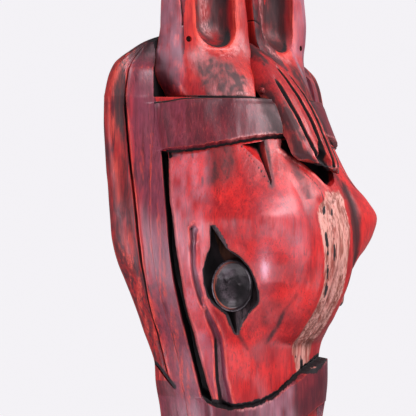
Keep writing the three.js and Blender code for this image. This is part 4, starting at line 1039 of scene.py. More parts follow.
def head_masks(ob):
    co = coords(ob.data) / MM
    x, d, z = co[:, 0], -co[:, 1], co[:, 2]
    side = np.where(x < 0, -1.0, 1.0)
    ax = np.abs(x)
    p, q = d - ax, d + ax
    s = surface_s(x, d, z)
    bt, be, nt, ne = carved_lines(s, side)
    K = pchip(z, ROW_Z, ROW_K)
    kp, kq = K[..., 1] - K[..., 0], K[..., 0] + K[..., 1]
    surf_q = np.zeros(len(z))
    for i in range(7):
        a, b = kp[:, i], kp[:, i + 1]
        t = np.clip((p - a) / np.maximum(b - a, 1e-3), 0, 1)
        surf_q = np.where(p >= a, kq[:, i] + (kq[:, i + 1] - kq[:, i]) * t, surf_q)
    upper = z > SHELF_Z - 0.2
    under = np.where(upper, 0, surf_q - q)              # positive below the smooth surface
    n1 = noise(p / 5, z / 7, side * 2, 71)
    n2 = fbm(p / 2.2, z / 5, side, 72)
    n3 = fbm(p / 9, z / 16, side * 3, 73)
    share = hollow_share(x, d, z)
    lim = pchip(z, [-238, -228, -216, -200, -182, -163, -100, -82, -70, -62, -57], [0.34, 0.52, 0.70, 0.80, 0.84, 0.85, 0.85, 0.81, 0.73, 0.60, 0.44])
    raw = (((share < lim) & (z < -56) & (z > -239)) | (d < 0.6))
    nrm = np.zeros(len(z) * 3)
    ob.data.vertices.foreach_get("normal", nrm)
    back = nrm[1::3] > 0.15
    raw = raw & (~((d > 60) & (z > -84)) | (back & (ax < 60)))
    raw = raw | ((ax < 15.6) & (z > -64.6) & (z < -9.4) & (d < 7.2))
    f_in = (s > 6.0)
    # plum parts: mane, strap, bands
    band = step(0.3, -0.5, z - bt) * step(-0.5, 0.3, z - be) * (s > 3.5)
    noseb = step(0.3, -0.5, z - nt) * step(-0.5, 0.3, z - ne)
    strap = step(4.9, 4.3, s)
    low_end = step(-244, -256, z)
    plum = np.maximum(np.maximum(band, noseb), strap * (1 - low_end))
    plum = np.where(upper & (s > 4.2), 0.75, plum)
    # painted sheen: mauve where the outward-turned sides catch a pale reflection, on the strap, the mane's inner side,
    # the bands' outer parts, the cheek and the gouged lines
    painted_sheen = np.maximum(0.85 * step(1.9, 2.4, s) * step(5.0, 4.2, s) * (1 - low_end), 0.55 * band * step(8.2, 6.5, s))
    painted_sheen = np.maximum(painted_sheen, 0.66 * noseb * step(10.9, 9.4, s))
    painted_sheen = np.maximum(painted_sheen, 0.45 * step(7.4, 6.3, s) * f_in * (z < be) * (z > nt))
    painted_sheen = np.maximum(painted_sheen, 0.80 * step(7.9, 6.8, s) * f_in * step(-162, -178, z) * (z > nt))
    outer_mane = step(2.05, 1.7, s) * (z > -205) + 0.55 * step(2.9, 2.2, s) * (z > -205)
    # crisp black lines of wax, with black painted shade in the chip, under the forelock's tips and round the slots
    dark = np.zeros(len(z))
    groove = step(3.85, 4.1, s) * step(6.35, 6.0, s) * step(0.6, -0.6, z - be) * step(-1.5, 0.5, z - nt)
    dark = np.maximum(dark, groove * step(1.0, 2.8, under))
    dark = np.maximum(dark, groove * 0.55 * step(4.0, 4.3, s))
    dark = np.maximum(dark, 0.95 * np.exp(-(((z - be + 0.7) / (0.9 + 0.5 * n1)) ** 2)) * (s > 5.5))
    dark = np.maximum(dark, 0.8 * np.exp(-(((z - bt - 0.3) / 0.9) ** 2)) * (s > 4))
    wide = 1.3 + 1.0 * n1 + 0.9 * step(7.5, 6.4, s) + 0.3 * step(9.6, 10.4, s)
    dark = np.maximum(dark, 1.0 * np.exp(-((np.clip(np.abs(z - nt - 1.2) - 0.6, 0, 20) / np.maximum(wide, 0.5)) ** 2)) * (s > 4.6))
    dark = np.maximum(dark, 0.7 * np.exp(-(((z - ne + 0.8) / 1.3) ** 2)) * (s > 4.5))
    dark = np.maximum(dark, 0.9 * step(9.9, 10.4, s) * step(-1.3, -0.6, z - nt) * step(3.2, 2.2, z - nt))
    for line, wid, dep in TEARS:
        tl, tsd, tal = line_distance(p, z, line)
        tw, tu = pchip(tal, *wid), tl * tsd
        on = (z > nt) * (s > 5.9) * (tal > 0.005)
        dark = np.maximum(dark, on * np.exp(-(((tu + tw * 0.8) / (0.7 + 0.16 * tw)) ** 2)) * step(2.4, 4.0, tw + 0.7 * n1))
        plum = np.maximum(plum, on * step(tw * 1.15, tw * 0.75, np.abs(tu)))
        painted_sheen = np.maximum(painted_sheen, on * step(tw * 1.2, tw * 0.8, np.abs(tu)))
    run = step(-205, -197, z) * step(20, 12, z)
    dark = np.maximum(dark, run * np.exp(-(((s - 1.96) / 0.10) ** 2)) * (0.85 + 0.3 * n1))
    dark = np.maximum(dark, run * 0.6 * np.exp(-(((s - 3.05) / 0.03) ** 2)) * step(-120, -150, z))
    ml, msd, mal = line_distance(p, z, MANE_END)
    mu = ml * msd
    dark = np.maximum(dark, 1.0 * np.where(mu > 0, np.exp(-((mu / 2.6) ** 2)), np.exp(-((mu / 0.9) ** 2))) * step(3.05, 2.8, s))
    # the eye socket and its slots
    eu, ez = (p - 10.0) * 0.707, z - EYE_Z
    dl = polygon_distance(eu, ez, LIDS)
    nearby = (z > -186) & (z < -90) & (s > 5.5) & ~raw
    insock = step(0.8, -0.3, dl) * (under > 0.9) * nearby
    slot = (np.minimum(polygon_distance(ax, z, SLOT_UP), polygon_distance(ax, z, SLOT_DOWN)) < 0.9) & (under > 1.5)
    slot_d = np.minimum(polygon_distance(ax, z, SLOT_UP), polygon_distance(ax, z, SLOT_DOWN))
    insock = np.maximum(np.maximum(insock, slot * 1.0), step(1.0, 0.3, slot_d) * (s > 5.5))
    raw = raw & ~slot
    dark = np.maximum(dark, insock)
    dark = np.maximum(dark, 0.8 * np.exp(-((np.clip(dl, 0, 9) / (0.8 + 0.45 * n1)) ** 2)) * nearby * (dl > -1.5))
    halo = np.exp(-((np.clip(dl, 0, 30) / 4.5) ** 2)) * nearby
    # chip under the brow band, with its right facet painted dark and painted shade along its right edge; and the cut
    # behind the forelock's tip, painted black as painted shadow
    chip = inside_polygon(p, z, [(17, -50), (51, -46), (53, -80), (45, -80), (29, -66)]) & (under > 0.9) & (z < be)
    dark = np.maximum(dark, chip * np.where(p > pchip(z, [-80, -50], [44.5, 29.0]), 0.85 + 0.15 * n1, 0.12 + 0.25 * n2))
    cl, _, _ = line_distance(p, z, [(20.5, -53), (34, -65), (48, -78.8)])
    dark = np.maximum(dark, 0.75 * np.exp(-((cl / 0.75) ** 2)) * (z < be))
    cr, _, _ = line_distance(p, z, [(42, -49), (46, -64), (48, -79)])
    chip_shade = 0.98 * np.exp(-((cr / 4.5) ** 2)) * (z < be) * f_in
    tip = inside_polygon(x, z, [(-21.5, -50), (-21.5, -56), (-11, -64.6), (-5, -71.4), (0, -79.4), (5, -81), (12.5, -78), (18, -70), (14, -48)]) & (d > 55) & ~upper
    dark = np.maximum(dark, 1.0 * tip * step(0.4, 1.6, under))
    # dark wash and painted shade, strongest in corners and next to the bands
    wash_and_shade = 0.85 * np.exp(-np.clip(be - z, 0, 99) / 9.0) * (z < be) * f_in * step(9.6, 8.2, s)
    wash_and_shade = np.maximum(wash_and_shade, 0.74 * step(-18, -8, p) * step(34, 10, p) * step(-96, -72, z) * (z < be) * f_in)
    wash_and_shade = np.maximum(wash_and_shade, 0.66 * halo)
    wash_and_shade = np.maximum(wash_and_shade, chip_shade)
    c1_, _, _ = line_distance(p, z, [(17, -170), (22, -177), (27, -182.5)])
    wash_and_shade = np.maximum(wash_and_shade, 0.78 * np.exp(-((c1_ / 3.2) ** 2)) * (s > 6.5))
    c2_, _, c2a = line_distance(p, z, [(34, -183), (45, -178), (54, -168), (61, -157), (71, -148)])
    wash_and_shade = np.maximum(wash_and_shade, (0.66 + 0.34 * step(0.1, 0.3, c2a) * step(0.85, 0.6, c2a)) * np.exp(-((c2_ / 3.4) ** 2)) * (s > 6.5))
    for hair in ([(-31, -62), (-30, -78), (-27, -96), (-24, -112)], [(-13, -70), (-14, -84), (-12.5, -96)], [(-22, -58), (-23, -66)]):
        hd_, _, ht_ = line_distance(p, z, hair)
        wash_and_shade = np.maximum(wash_and_shade, 0.85 * np.exp(-((hd_ / 0.75) ** 2)) * f_in * (s < 8) * step(0.0, 0.15, ht_) * step(1.0, 0.8, ht_))
    wash_and_shade = np.maximum(wash_and_shade, 0.66 * noseb * step(8.4, 7.2, s) * step(5.4, 6.2, s) * step(-212, -221, z))
    c3_, _, _ = line_distance(p, z, [(66.5, -116), (67.5, -124)])
    wash_and_shade = np.maximum(wash_and_shade, 0.7 * np.exp(-((c3_ / 1.2) ** 2)) * (s > 6.5))
    wash_and_shade = np.maximum(wash_and_shade, 0.75 * np.exp(-np.clip(z - nt, 0, 99) / 8.0) * (z > nt) * f_in)
    # painted shade under the swelling over the eye
    wash_and_shade = np.maximum(wash_and_shade, 0.58 * step(22, 34, p) * step(82, 64, p) * step(-178, -166, z) * step(-142, -154, z))
    # painted shade: the valley beside the nose is darkened much more on the +X side than on the -X side
    wash_and_shade = np.maximum(wash_and_shade, np.where(x > 0, 1.05 * np.exp(-(((ax - 21.5) / 7.5) ** 2)), 0.33 * np.exp(-(((ax - 23.5) / 4.2) ** 2))) * step(-66, -82, z) * step(-158, -140, z) * (s > 8.5))
    wash_and_shade = np.maximum(wash_and_shade, 0.55 * step(6.9, 6.1, s) * f_in)
    wash_and_shade = np.maximum(wash_and_shade, 0.62 * outer_mane * step(0.6, 1.6, s) * step(-120, -30, z))
    wash_and_shade = np.maximum(wash_and_shade, 0.45 * outer_mane)
    wash_and_shade = np.maximum(wash_and_shade, 0.92 * outer_mane * step(0.5, 1.3, s) * step(-52, -34, z) * step(4, -10, z))
    wash_and_shade = np.maximum(wash_and_shade, 0.8 * (z < be) * (z > -88) * np.exp(-(((ax - 17) / 6.0) ** 2)) * (s > 8.5))
    wash_and_shade = np.maximum(wash_and_shade, step(-36, -14, z) * step(4.3, 4.0, s) * (0.55 + 0.3 * step(-6, 12, z)))
    # painted shade on the crest behind the ears
    wash_and_shade = np.maximum(wash_and_shade, np.where(upper & (s > 4), 0.8, 0))
    wash_and_shade = np.maximum(wash_and_shade, 0.85 * band * step(8.9, 9.9, s))
    wash_and_shade = np.maximum(wash_and_shade, 0.6 * (z < ne) * np.exp(-np.clip(ne - z, 0, 99) / 10.0) * (s > 4))
    # the floor of the seat under the ears
    dark = np.where(upper & (d < 9.2) & (ax < 66), 0.95, dark)
    dark = np.where(upper & (ax < 76) & (ax > 62) & (z < 6) & (d < 20) & (s < 4.2), np.maximum(dark, 0.0), dark)
    sl, _, _ = line_distance(x, z, [(-16, -66), (-10, -74.5), (-6.3, -81), (-7.6, -97)])
    dark = np.maximum(dark, 0.75 * np.exp(-((sl / 0.55) ** 2)) * (d > 62) * (under < 4) * (z < -60))
    # the bare stripe
    bz = [b[0] for b in BLAZE][::-1]
    lo, hi = pchip(z, bz, [b[1] for b in BLAZE][::-1]), pchip(z, bz, [b[2] for b in BLAZE][::-1])
    on_nose = (d > 58) & (under < 12) & (s > 8.5) & (z < -80) & (z > -201) & ~tip
    bare = np.minimum(np.minimum(x - lo, hi - x), np.minimum(z - nt - 2.2, (-83 - z) * 0.5))
    bare = np.clip(0.5 + np.where(on_nose, bare, -9) / 6, 0, 1) * step(1.0, 2.6, z - nt)
    tb = (x - lo) / np.maximum(hi - lo, 4)
    crack = np.zeros(len(z))
    for c, wd, k in ((0.17, 0.046, 1.0), (0.44, 0.036, 0.7)):
        c = c + 0.04 * np.sin(z / 11.0 + c * 20)
        amt = step(-0.35, 0.5, fbm(z / 3.7, z * 0 + k * 7, z * 0, 93) + 0.5 * step(-134, -124, z) * step(-88, -94, z) - 0.15)
        crack = np.maximum(crack, k * np.exp(-(((tb - c) / (wd * (0.45 + amt))) ** 2)) * on_nose * (0.35 + 0.65 * amt) * step(-88, -92, z))
    crack = np.maximum(crack, 0.8 * on_nose * np.exp(-(((tb - 0.45) / 0.16) ** 2)) * step(-184, -193, z))
    # pale, rubbed edges, and pale painted highlights
    wear = np.zeros(len(z))
    wear = np.maximum(wear, run * np.exp(-(((s - 2.13) / 0.05) ** 2)))
    wear = np.maximum(wear, 0.7 * np.exp(-(((s - 6.12) / 0.10) ** 2)) * (z < be) * (z > nt))
    wear = np.maximum(wear, 0.55 * np.exp(-(((s - 3.92) / 0.06) ** 2)) * (z < be) * (z > nt) * step(-150, -190, z))
    for line, wid, dep in TEARS:
        tl, tsd, tal = line_distance(p, z, line)
        tw, tu = pchip(tal, *wid), tl * tsd
        wear = np.maximum(wear, 0.8 * np.exp(-(((tl - tw * 1.35) / 0.8) ** 2)) * (z > nt) * (s > 6))
    wear = np.maximum(wear, outer_mane * step(0.1, 0.9, s) * step(0.15, 0.75, noise(p / 1.6, z / 30, side, 77) + 0.3) * (0.12 + 0.6 * step(-90, -150, z)))
    wear = np.maximum(wear, 0.5 * step(2.3, 2.7, s) * step(3.9, 3.4, s) * step(0.2, 0.8, noise(p / 1.3, z / 34, side, 79) + 0.2))
    wear = np.maximum(wear, 0.55 * np.exp(-(((dl - 1.6) / 0.8) ** 2)) * nearby)
    wear = np.maximum(wear, 0.9 * np.exp(-((polygon_distance(x, z, [(-22.5, -55), (-11, -65.6), (-5, -72.4), (0, -80.4), (5, -82), (12, -79), (12, -49), (-18, -49)]) / 0.9) ** 2)) * (x < 3) * (d > 55) * (z < -55))
    pale_wear_and_highlight = 0.85 * np.exp(-(((z - be - 1.6) / 1.4) ** 2)) * step(7.8, 8.6, s) * step(10.2, 9.6, s)
    # painted highlight along the bevel under the noseband's top edge
    pale_wear_and_highlight = np.maximum(pale_wear_and_highlight, 0.8 * np.exp(-(((z - nt + 1.2) / 1.2) ** 2)) * step(6.6, 7.4, s) * step(10.3, 9.9, s))
    ul, _, _ = line_distance(x, z, [(-22.5, -56.5), (-15, -62.2), (-9, -68), (-4, -74), (0.5, -80.6)])
    pale_wear_and_highlight = np.maximum(pale_wear_and_highlight, 0.95 * np.exp(-((ul / 1.1) ** 2)) * (d > 60) * (under < 3))
    near_slot = (np.minimum(polygon_distance(ax, z, SLOT_UP), polygon_distance(ax, z, SLOT_DOWN)) < 6) | ((dl < 3) & (z > -186) & (z < -90))
    # painted highlight: a pale spot on the swelling over the eye
    pale_wear_and_highlight = np.maximum(pale_wear_and_highlight, (s > 7.5) * (z < -112) * (0.80 * np.exp(-(((p - 42.5) / 4.2) ** 2 + ((z + 131.0) / 8.5) ** 2)) + 0.22 * np.exp(-(((p - 42.5) / 9.0) ** 2 + ((z + 126.0) / 17.0) ** 2))))
    # painted shade: the stained inside is painted black round the slots, where it is seen through them
    dark = np.where(raw, np.where(near_slot, 1.0, 0.0), dark)
    attribute(ob, "plum", np.clip(plum, 0, 1))
    attribute(ob, "painted_sheen", np.where(raw, 0, np.clip(painted_sheen, 0, 1)))
    attribute(ob, "dark", np.clip(dark, 0, 1))
    attribute(ob, "wash_and_shade", np.where(raw, 0, np.clip(wash_and_shade + 0.12 * n3, 0, 1)))
    attribute(ob, "bare", np.where(raw, 0, bare))
    crack = crack * step(1.2, 2.4, z - nt)
    attribute(ob, "crack", np.where(raw, 0, np.clip(crack, 0, 1)))
    attribute(ob, "wear", np.where(raw, 0, np.clip(wear, 0, 1)))
    attribute(ob, "pale_wear_and_highlight", np.where(raw, 0, np.clip(pale_wear_and_highlight, 0, 1)))
    # painted highlights: a bright spot on the swelling over the eye with a broad pink glow round it, and pink sheen on
    # the face, the nose and the noseband
    painted_highlight = (s > 7.5) * (z < -108) * (z > -156) * np.exp(-(((p - 42.0) / 3.6) ** 2 + ((z + 131.0) / 7.0) ** 2))
    painted_highlight = np.maximum(painted_highlight, 0.26 * step(8, -2, x) * (s > 7.2) * (z < be - 3) * np.exp(-(((p - 60.0) / 21.0) ** 2 + ((z + 99.0) / 19.0) ** 2)) * (0.85 + 0.5 * n3))
    painted_highlight = np.maximum(painted_highlight, 0.20 * step(-1, -14, p) * f_in * (z < be - 3) * step(-205, -185, z) * (0.8 + 0.7 * n1))
    painted_highlight = np.maximum(painted_highlight, 0.24 * noseb * step(7.2, 8.4, s) * step(10.6, 10.0, s) * step(0.0, -3.0, z - nt) * step(-2.0, 2.0, z - ne) * (x < 0) * (0.8 + 0.6 * n1))
    painted_highlight = np.maximum(painted_highlight, 0.26 * (s > 8.0) * (s < 10.6) * (x < 0) * np.exp(-(((z + 113) / 13.0) ** 2)) * np.exp(-(((p - 72) / 9.0) ** 2)))
    painted_highlight = np.maximum(painted_highlight, 0.30 * (s > 7.5) * (z < -100) * (z > -160) * np.exp(-(((p - 42.0) / 8.0) ** 2 + ((z + 128.0) / 15.0) ** 2)))
    attribute(ob, "painted_highlight", np.where(raw, 0, painted_highlight))
    attribute(ob, "raw", raw.astype(float))
    attribute(ob, "sock", insock * np.maximum(step(7, 13, ez) * step(-12, -8, eu), step(-1, 7, eu) * step(0, -9, ez)))
    attribute(ob, "mane", np.clip(outer_mane, 0, 1))
    cavities(ob)


def plain_masks(ob, plum, dark, wash_and_shade, wear, pale_wear_and_highlight):
    n = len(ob.data.vertices)
    for name, v in (("plum", plum), ("dark", dark), ("wash_and_shade", wash_and_shade), ("wear", wear), ("pale_wear_and_highlight", pale_wear_and_highlight)):
        attribute(ob, name, np.clip(v, 0, 1))
    for name in ("bare", "crack", "raw", "mane", "painted_sheen", "painted_highlight", "sock"):
        attribute(ob, name, np.zeros(n))
    cavities(ob)


def ear_masks(ob, side):
    co = coords(ob.data) / MM
    x, d, z = np.abs(co[:, 0]), -co[:, 1], co[:, 2]
    K = pchip(z, EAR_Z, EAR_K)
    C, E = K[:, 3], K[:, 7]
    t = np.clip((x - E[:, 0]) / np.maximum(C[:, 0] - E[:, 0], 1), 0, 1)
    rim = E[:, 1] + (C[:, 1] - E[:, 1]) * t
    deep, rho = scoop(x, z)
    front = (d > 13) & (x > K[:, 8, 0] + 0.5) & (x < K[:, 2, 0] + 1)
    n1 = noise(x / 5, d / 5, z / 9 + side, 81)
    n2 = fbm(x / 3, d / 3, z / 4 + side, 82)
    hol = step(1.06, 0.86, rho) * front * (z > 8) * (z < 113)
    inner = step(0.38, 0.12, t)                           # the half next to the other ear
    # painted shade: the hollow is darkened, most on its half next to the other ear, with a dark line along its lower
    # rim
    wash_and_shade = hol * (0.74 + 0.26 * inner + (0.2 if side > 0 else 0.0))
    dark = hol * 0.85 * np.exp(-(((rho - 0.92) / 0.09) ** 2)) * step(30, 14, z) + hol * 0.35 * inner
    base = step(15, -3, z) * step(20, 30, x) * step(60, 50, x) * (d > 20) * (d < 60)
    wash_and_shade = np.maximum(wash_and_shade, (0.86 + 0.3 * n2) * base)
    wash_and_shade = np.maximum(wash_and_shade, 1.0 * step(2, -12, z) * step(58, 50, x) * step(18, 24, x) * (d > 26) * (0.75 + 0.6 * n2))
    wash_and_shade = np.maximum(wash_and_shade, 0.8 * step(20, 4, z) * step(52, 58, x) * (d > 12) * (0.6 + 0.6 * n1))
    wash_and_shade = np.maximum(wash_and_shade, 0.75 * step(16, 4, x) * step(60, 0, z) * (d > 14))
    dark = np.maximum(dark, 0.7 * np.exp(-(((z + 21.6) / 1.3) ** 2)) * (d > 12))
    wash_and_shade = np.maximum(wash_and_shade, 0.7 * (d < 9.5))
    if side < 0:
        dark = np.maximum(dark, np.exp(-(((x - 58.6 - 0.6 * np.sin(z / 6)) / 0.45) ** 2)) * step(22.5, 25, z) * (d > 20) * step(60, 40, z))
    else:
        dark = np.maximum(dark, 0.8 * np.exp(-(((z - 30 + 0.35 * (x - 6)) / 0.5) ** 2)) * step(10.5, 8.5, x) * (d > 16))
    wear = front * (0.85 * np.exp(-(((rho - 1.04) / 0.06) ** 2)) * (z > 5) + 0.6 * step(1.4, 1.1, rho) * step(0.95, 1.1, rho) * (z > 5))
    # painted highlights: pale below the hollow, and a pale streak down the middle of the hollow
    pale_wear_and_highlight = front * (0.8 * np.exp(-(((rho - 1.28) / 0.20) ** 2)) * step(24, 10, z) * step(-14, 0, z) * step(38, 30, x))
    pale_wear_and_highlight = np.maximum(pale_wear_and_highlight, 0.95 * hol * np.exp(-(((t - 0.43) / 0.11) ** 2)) * step(14, 26, z))
    pale_wear_and_highlight = np.maximum(pale_wear_and_highlight, 0.9 * np.exp(-(((z + 19.3) / 1.3) ** 2)) * step(22, 25, x) * step(36, 32, x) * (d > 40))
    wear = np.maximum(wear, 0.5 * np.exp(-(((x - K[:, 2, 0]) / 1.6) ** 2)) * (d > 18) * step(0.0, 0.6, n2 + 0.2))
    plum = np.where((x > K[:, 3, 0] + 6) & (d < 27), 0.62, 0.2) + 0.2 * n2
    plum = np.maximum(plum, hol * (0.4 + 0.3 * n1))
    if side > 0:
        # painted shade along the far ear's inner edge, next to the forelock
        edge_in = front * step(0.36, 0.24, t) * (z > -2)
        wash_and_shade = np.maximum(wash_and_shade, (0.74 + 0.35 * n2) * edge_in)
        wear = wear * (1 - 0.85 * edge_in)
        plum = np.maximum(plum, 0.6 * edge_in)
    plain_masks(ob, plum, dark, wash_and_shade + 0.12 * n1, wear, pale_wear_and_highlight)
    if side > 0:
        # painted highlight: a lavender band along the far ear's outer rim
        band = np.exp(-(((t - 0.88) / 0.13) ** 2)) * (d > 9) * step(-18, -6, z) * (1 - hol)
        band = np.maximum(band, step(1.0, 1.08, rho) * step(0.50, 0.62, t) * step(4, 14, z) * (d > 9))
        attribute(ob, "painted_highlight", np.clip(0.24 * band * (0.85 + 0.6 * n1), 0, 0.4))
        ridge = np.zeros(len(t))
        ob.data.attributes["ridge"].data.foreach_get("value", ridge)
        attribute(ob, "ridge", ridge * (1 - 0.9 * edge_in))
    else:
        # painted highlight along the near ear's outer ridge
        flank = step(K[:, 2, 0] - 4.0, K[:, 2, 0] - 1.5, x) * (d > 9) * step(-16, 0, z)
        attribute(ob, "painted_highlight", np.clip(0.26 * flank * (0.9 + 0.6 * n1), 0, 0.4))
    # painted sheen in lilac along the ear's outer ridge and over its pale patches, and on the far ear's highlight band
    reach = 3.5 if side < 0 else 9.0
    lilac_sheen = 0.6 * step(K[:, 2, 0] - reach, K[:, 2, 0] - reach + 2.5, x) * (d > 9) + 0.5 * pale_wear_and_highlight * (z < 14)
    attribute(ob, "painted_sheen", lilac_sheen if side < 0 else np.maximum(lilac_sheen, 0.85 * band))


def lock_masks(ob):
    co = coords(ob.data) / MM
    x, d, z = co[:, 0], -co[:, 1], co[:, 2]
    zz = LOCK[::-1]
    mid = (zz[:, 0] + zz[:, 1]) / 2
    a = np.zeros(len(x))
    zc = z.copy()
    for _ in range(6):                                   # the rows slope, so find each point's own row
        v = pchip(zc, mid, zz)
        a = np.clip((x - v[:, 2]) / np.maximum(v[:, 3] - v[:, 2], 1), 0, 1)
        zc = z - (v[:, 1] - v[:, 0]) * (a - 0.5)
    v = pchip(zc, mid, zz)
    t = np.interp(zc, mid, LOCK_T[::-1])
    thick = v[:, 4] - v[:, 5]
    hug = 7.5 * step(0.72, 0.95, t) * np.clip(1 - a / 0.34, 0, 1) ** 1.5
    rel = (d + hug - v[:, 5]) / np.maximum(thick, 1)
    arch = np.clip(1 - np.abs(2 * a - 1) ** 3.2, 0, 1) ** 0.55
    dark = np.zeros(len(x))
    wear = np.zeros(len(x))
    for c, t0, t1, _ in LOCK_CUTS:
        c2 = c + 0.03 * np.sin(t * 5 + c * 9)
        run = step(t0, t0 + 0.08, t) * step(t1 + 0.04, t1 - 0.02, t)
        dark = np.maximum(dark, 1.4 * run * np.exp(-(((a - c2) / 0.044) ** 2)))
        wear = np.maximum(wear, run * np.exp(-(((a - c2 - 0.045) / 0.016) ** 2)))
        wear = np.maximum(wear, 0.7 * run * np.exp(-(((a - c2 + 0.045) / 0.014) ** 2)))
    wide = 0.02 + 0.15 * step(0.76, 1.0, t)
    dark = np.maximum(dark, step(0.76, 0.84, t) * np.clip(1.3 - np.abs(a - 0.47) / wide, 0, 1) * (rel < 0.96 * (0.33 + 0.67 * arch)))
    # painted shade on the underside of the lock's lower part
    dark = np.maximum(dark, 0.9 * step(0.22, 0.06, rel) * step(0.6, 0.8, t))
    n2 = fbm(x / 3, z / 9, d / 9, 95)
    # dark wash and painted shade: darker along the lock's left part, at its tips and at its root between the ears
    wash_and_shade = 0.46 + 0.45 * step(0.30, 0.1, a) * step(0.3, 0.5, t) + 0.35 * step(0.93, 0.99, t) + 0.4 * n2
    wash_and_shade = wash_and_shade + 0.35 * step(0.30, 0.1, t)
    pale_wear_and_highlight = 0.5 * step(0.70, 0.9, t) * np.exp(-(((a - 0.36) / 0.08) ** 2))
    plain_masks(ob, 0.25 + 0.35 * n2, dark, wash_and_shade + 0.15 * n2, wear, pale_wear_and_highlight)


for o in (head, boards["right"], boards["left"]):
    head_masks(o)
for nm, sd in (("right", -1), ("left", 1)):
    ear_masks(ears[nm], sd)
lock_masks(lock)


# ------------------------------------------------------------------ materials
def srgb(r, g, b):
    f = lambda c: c / 12.92 if c <= 0.04045 else ((c + 0.055) / 1.055) ** 2.4
    return (f(r / 255), f(g / 255), f(b / 255), 1.0)


class Nodes:
    """Short words for building a node tree."""

    def __init__(self, name):
        self.mat = bpy.data.materials.new(name)
        self.mat.use_nodes = True
        self.t = self.mat.node_tree
        self.t.nodes.clear()
        self.out = self.t.nodes.new("ShaderNodeOutputMaterial")
        self.bsdf = self.t.nodes.new("ShaderNodeBsdfPrincipled")
        self.t.links.new(self.bsdf.outputs[0], self.out.inputs[0])
        self.co = self.t.nodes.new("ShaderNodeTexCoord").outputs["Object"]

    def link(self, a, b):
        self.t.links.new(a, b)

    def put(self, socket, v):
        if isinstance(v, bpy.types.NodeSocket):
            self.link(v, socket)
        else:
            socket.default_value = v

    def attr(self, name):
        n = self.t.nodes.new("ShaderNodeAttribute")
        n.attribute_name = name
        return n.outputs["Fac"]

    def mapping(self, scale, rot=(0, 0, 0), loc=(0, 0, 0)):
        n = self.t.nodes.new("ShaderNodeMapping")
        n.inputs["Scale"].default_value = scale
        n.inputs["Rotation"].default_value = rot
        n.inputs["Location"].default_value = loc
        self.link(self.co, n.inputs["Vector"])
        return n.outputs[0]

    def noise(self, scale, detail=4, rough=0.55, vec=None, dist=0.0):
        n = self.t.nodes.new("ShaderNodeTexNoise")
        n.inputs["Scale"].default_value = scale
        n.inputs["Detail"].default_value = detail
        n.inputs["Roughness"].default_value = rough
        n.inputs["Distortion"].default_value = dist
        self.link(vec if vec is not None else self.co, n.inputs["Vector"])
        return n.outputs["Fac"]

    def wave(self, scale, dist, detail, vec):
        n = self.t.nodes.new("ShaderNodeTexWave")
        n.inputs["Scale"].default_value = scale
        n.inputs["Distortion"].default_value = dist
        n.inputs["Detail"].default_value = detail
        self.link(vec, n.inputs["Vector"])
        return n.outputs["Fac"]

    def math(self, op, a, b=None, c=None, clamp=False):
        n = self.t.nodes.new("ShaderNodeMath")
        n.operation = op
        n.use_clamp = clamp
        self.put(n.inputs[0], a)
        if b is not None:
            self.put(n.inputs[1], b)
        if c is not None:
            self.put(n.inputs[2], c)
        return n.outputs[0]

    def ramp(self, x, lo, hi, a=0.0, b=1.0):
        n = self.t.nodes.new("ShaderNodeMapRange")
        n.interpolation_type = "SMOOTHSTEP"
        self.put(n.inputs["Value"], x)
        n.inputs["From Min"].default_value = lo
        n.inputs["From Max"].default_value = hi
        n.inputs["To Min"].default_value = a
        n.inputs["To Max"].default_value = b
        return n.outputs["Result"]

    def mix(self, fac, a, b, mode="MIX"):
        n = self.t.nodes.new("ShaderNodeMix")
        n.data_type = "RGBA"
        n.blend_type = mode
        self.put(n.inputs["Factor"], fac)
        self.put(n.inputs["A"], a)
        self.put(n.inputs["B"], b)
        return n.outputs["Result"]

    def bump(self, height, strength, distance, normal=None):
        n = self.t.nodes.new("ShaderNodeBump")
        n.inputs["Strength"].default_value = strength
        n.inputs["Distance"].default_value = distance
        self.put(n.inputs["Height"], height)
        if normal is not None:
            self.link(normal, n.inputs["Normal"])
        return n.outputs[0]


RED, RED_DEEP = srgb(222, 38, 35), srgb(158, 22, 29)
PLUM, PLUM_DEEP = srgb(124, 32, 44), srgb(80, 22, 34)
BLACK = srgb(17, 11, 14)
WASH_SHADE_COLOUR = srgb(32, 10, 15)
SHEEN_MAUVE = srgb(134, 62, 80)
ORANGE = srgb(228, 80, 64)
PINK = srgb(226, 150, 146)
BARE, BARE_DARK = srgb(230, 174, 158), srgb(142, 82, 66)
RAW, RAW_DARK = srgb(92, 56, 38), srgb(46, 26, 20)


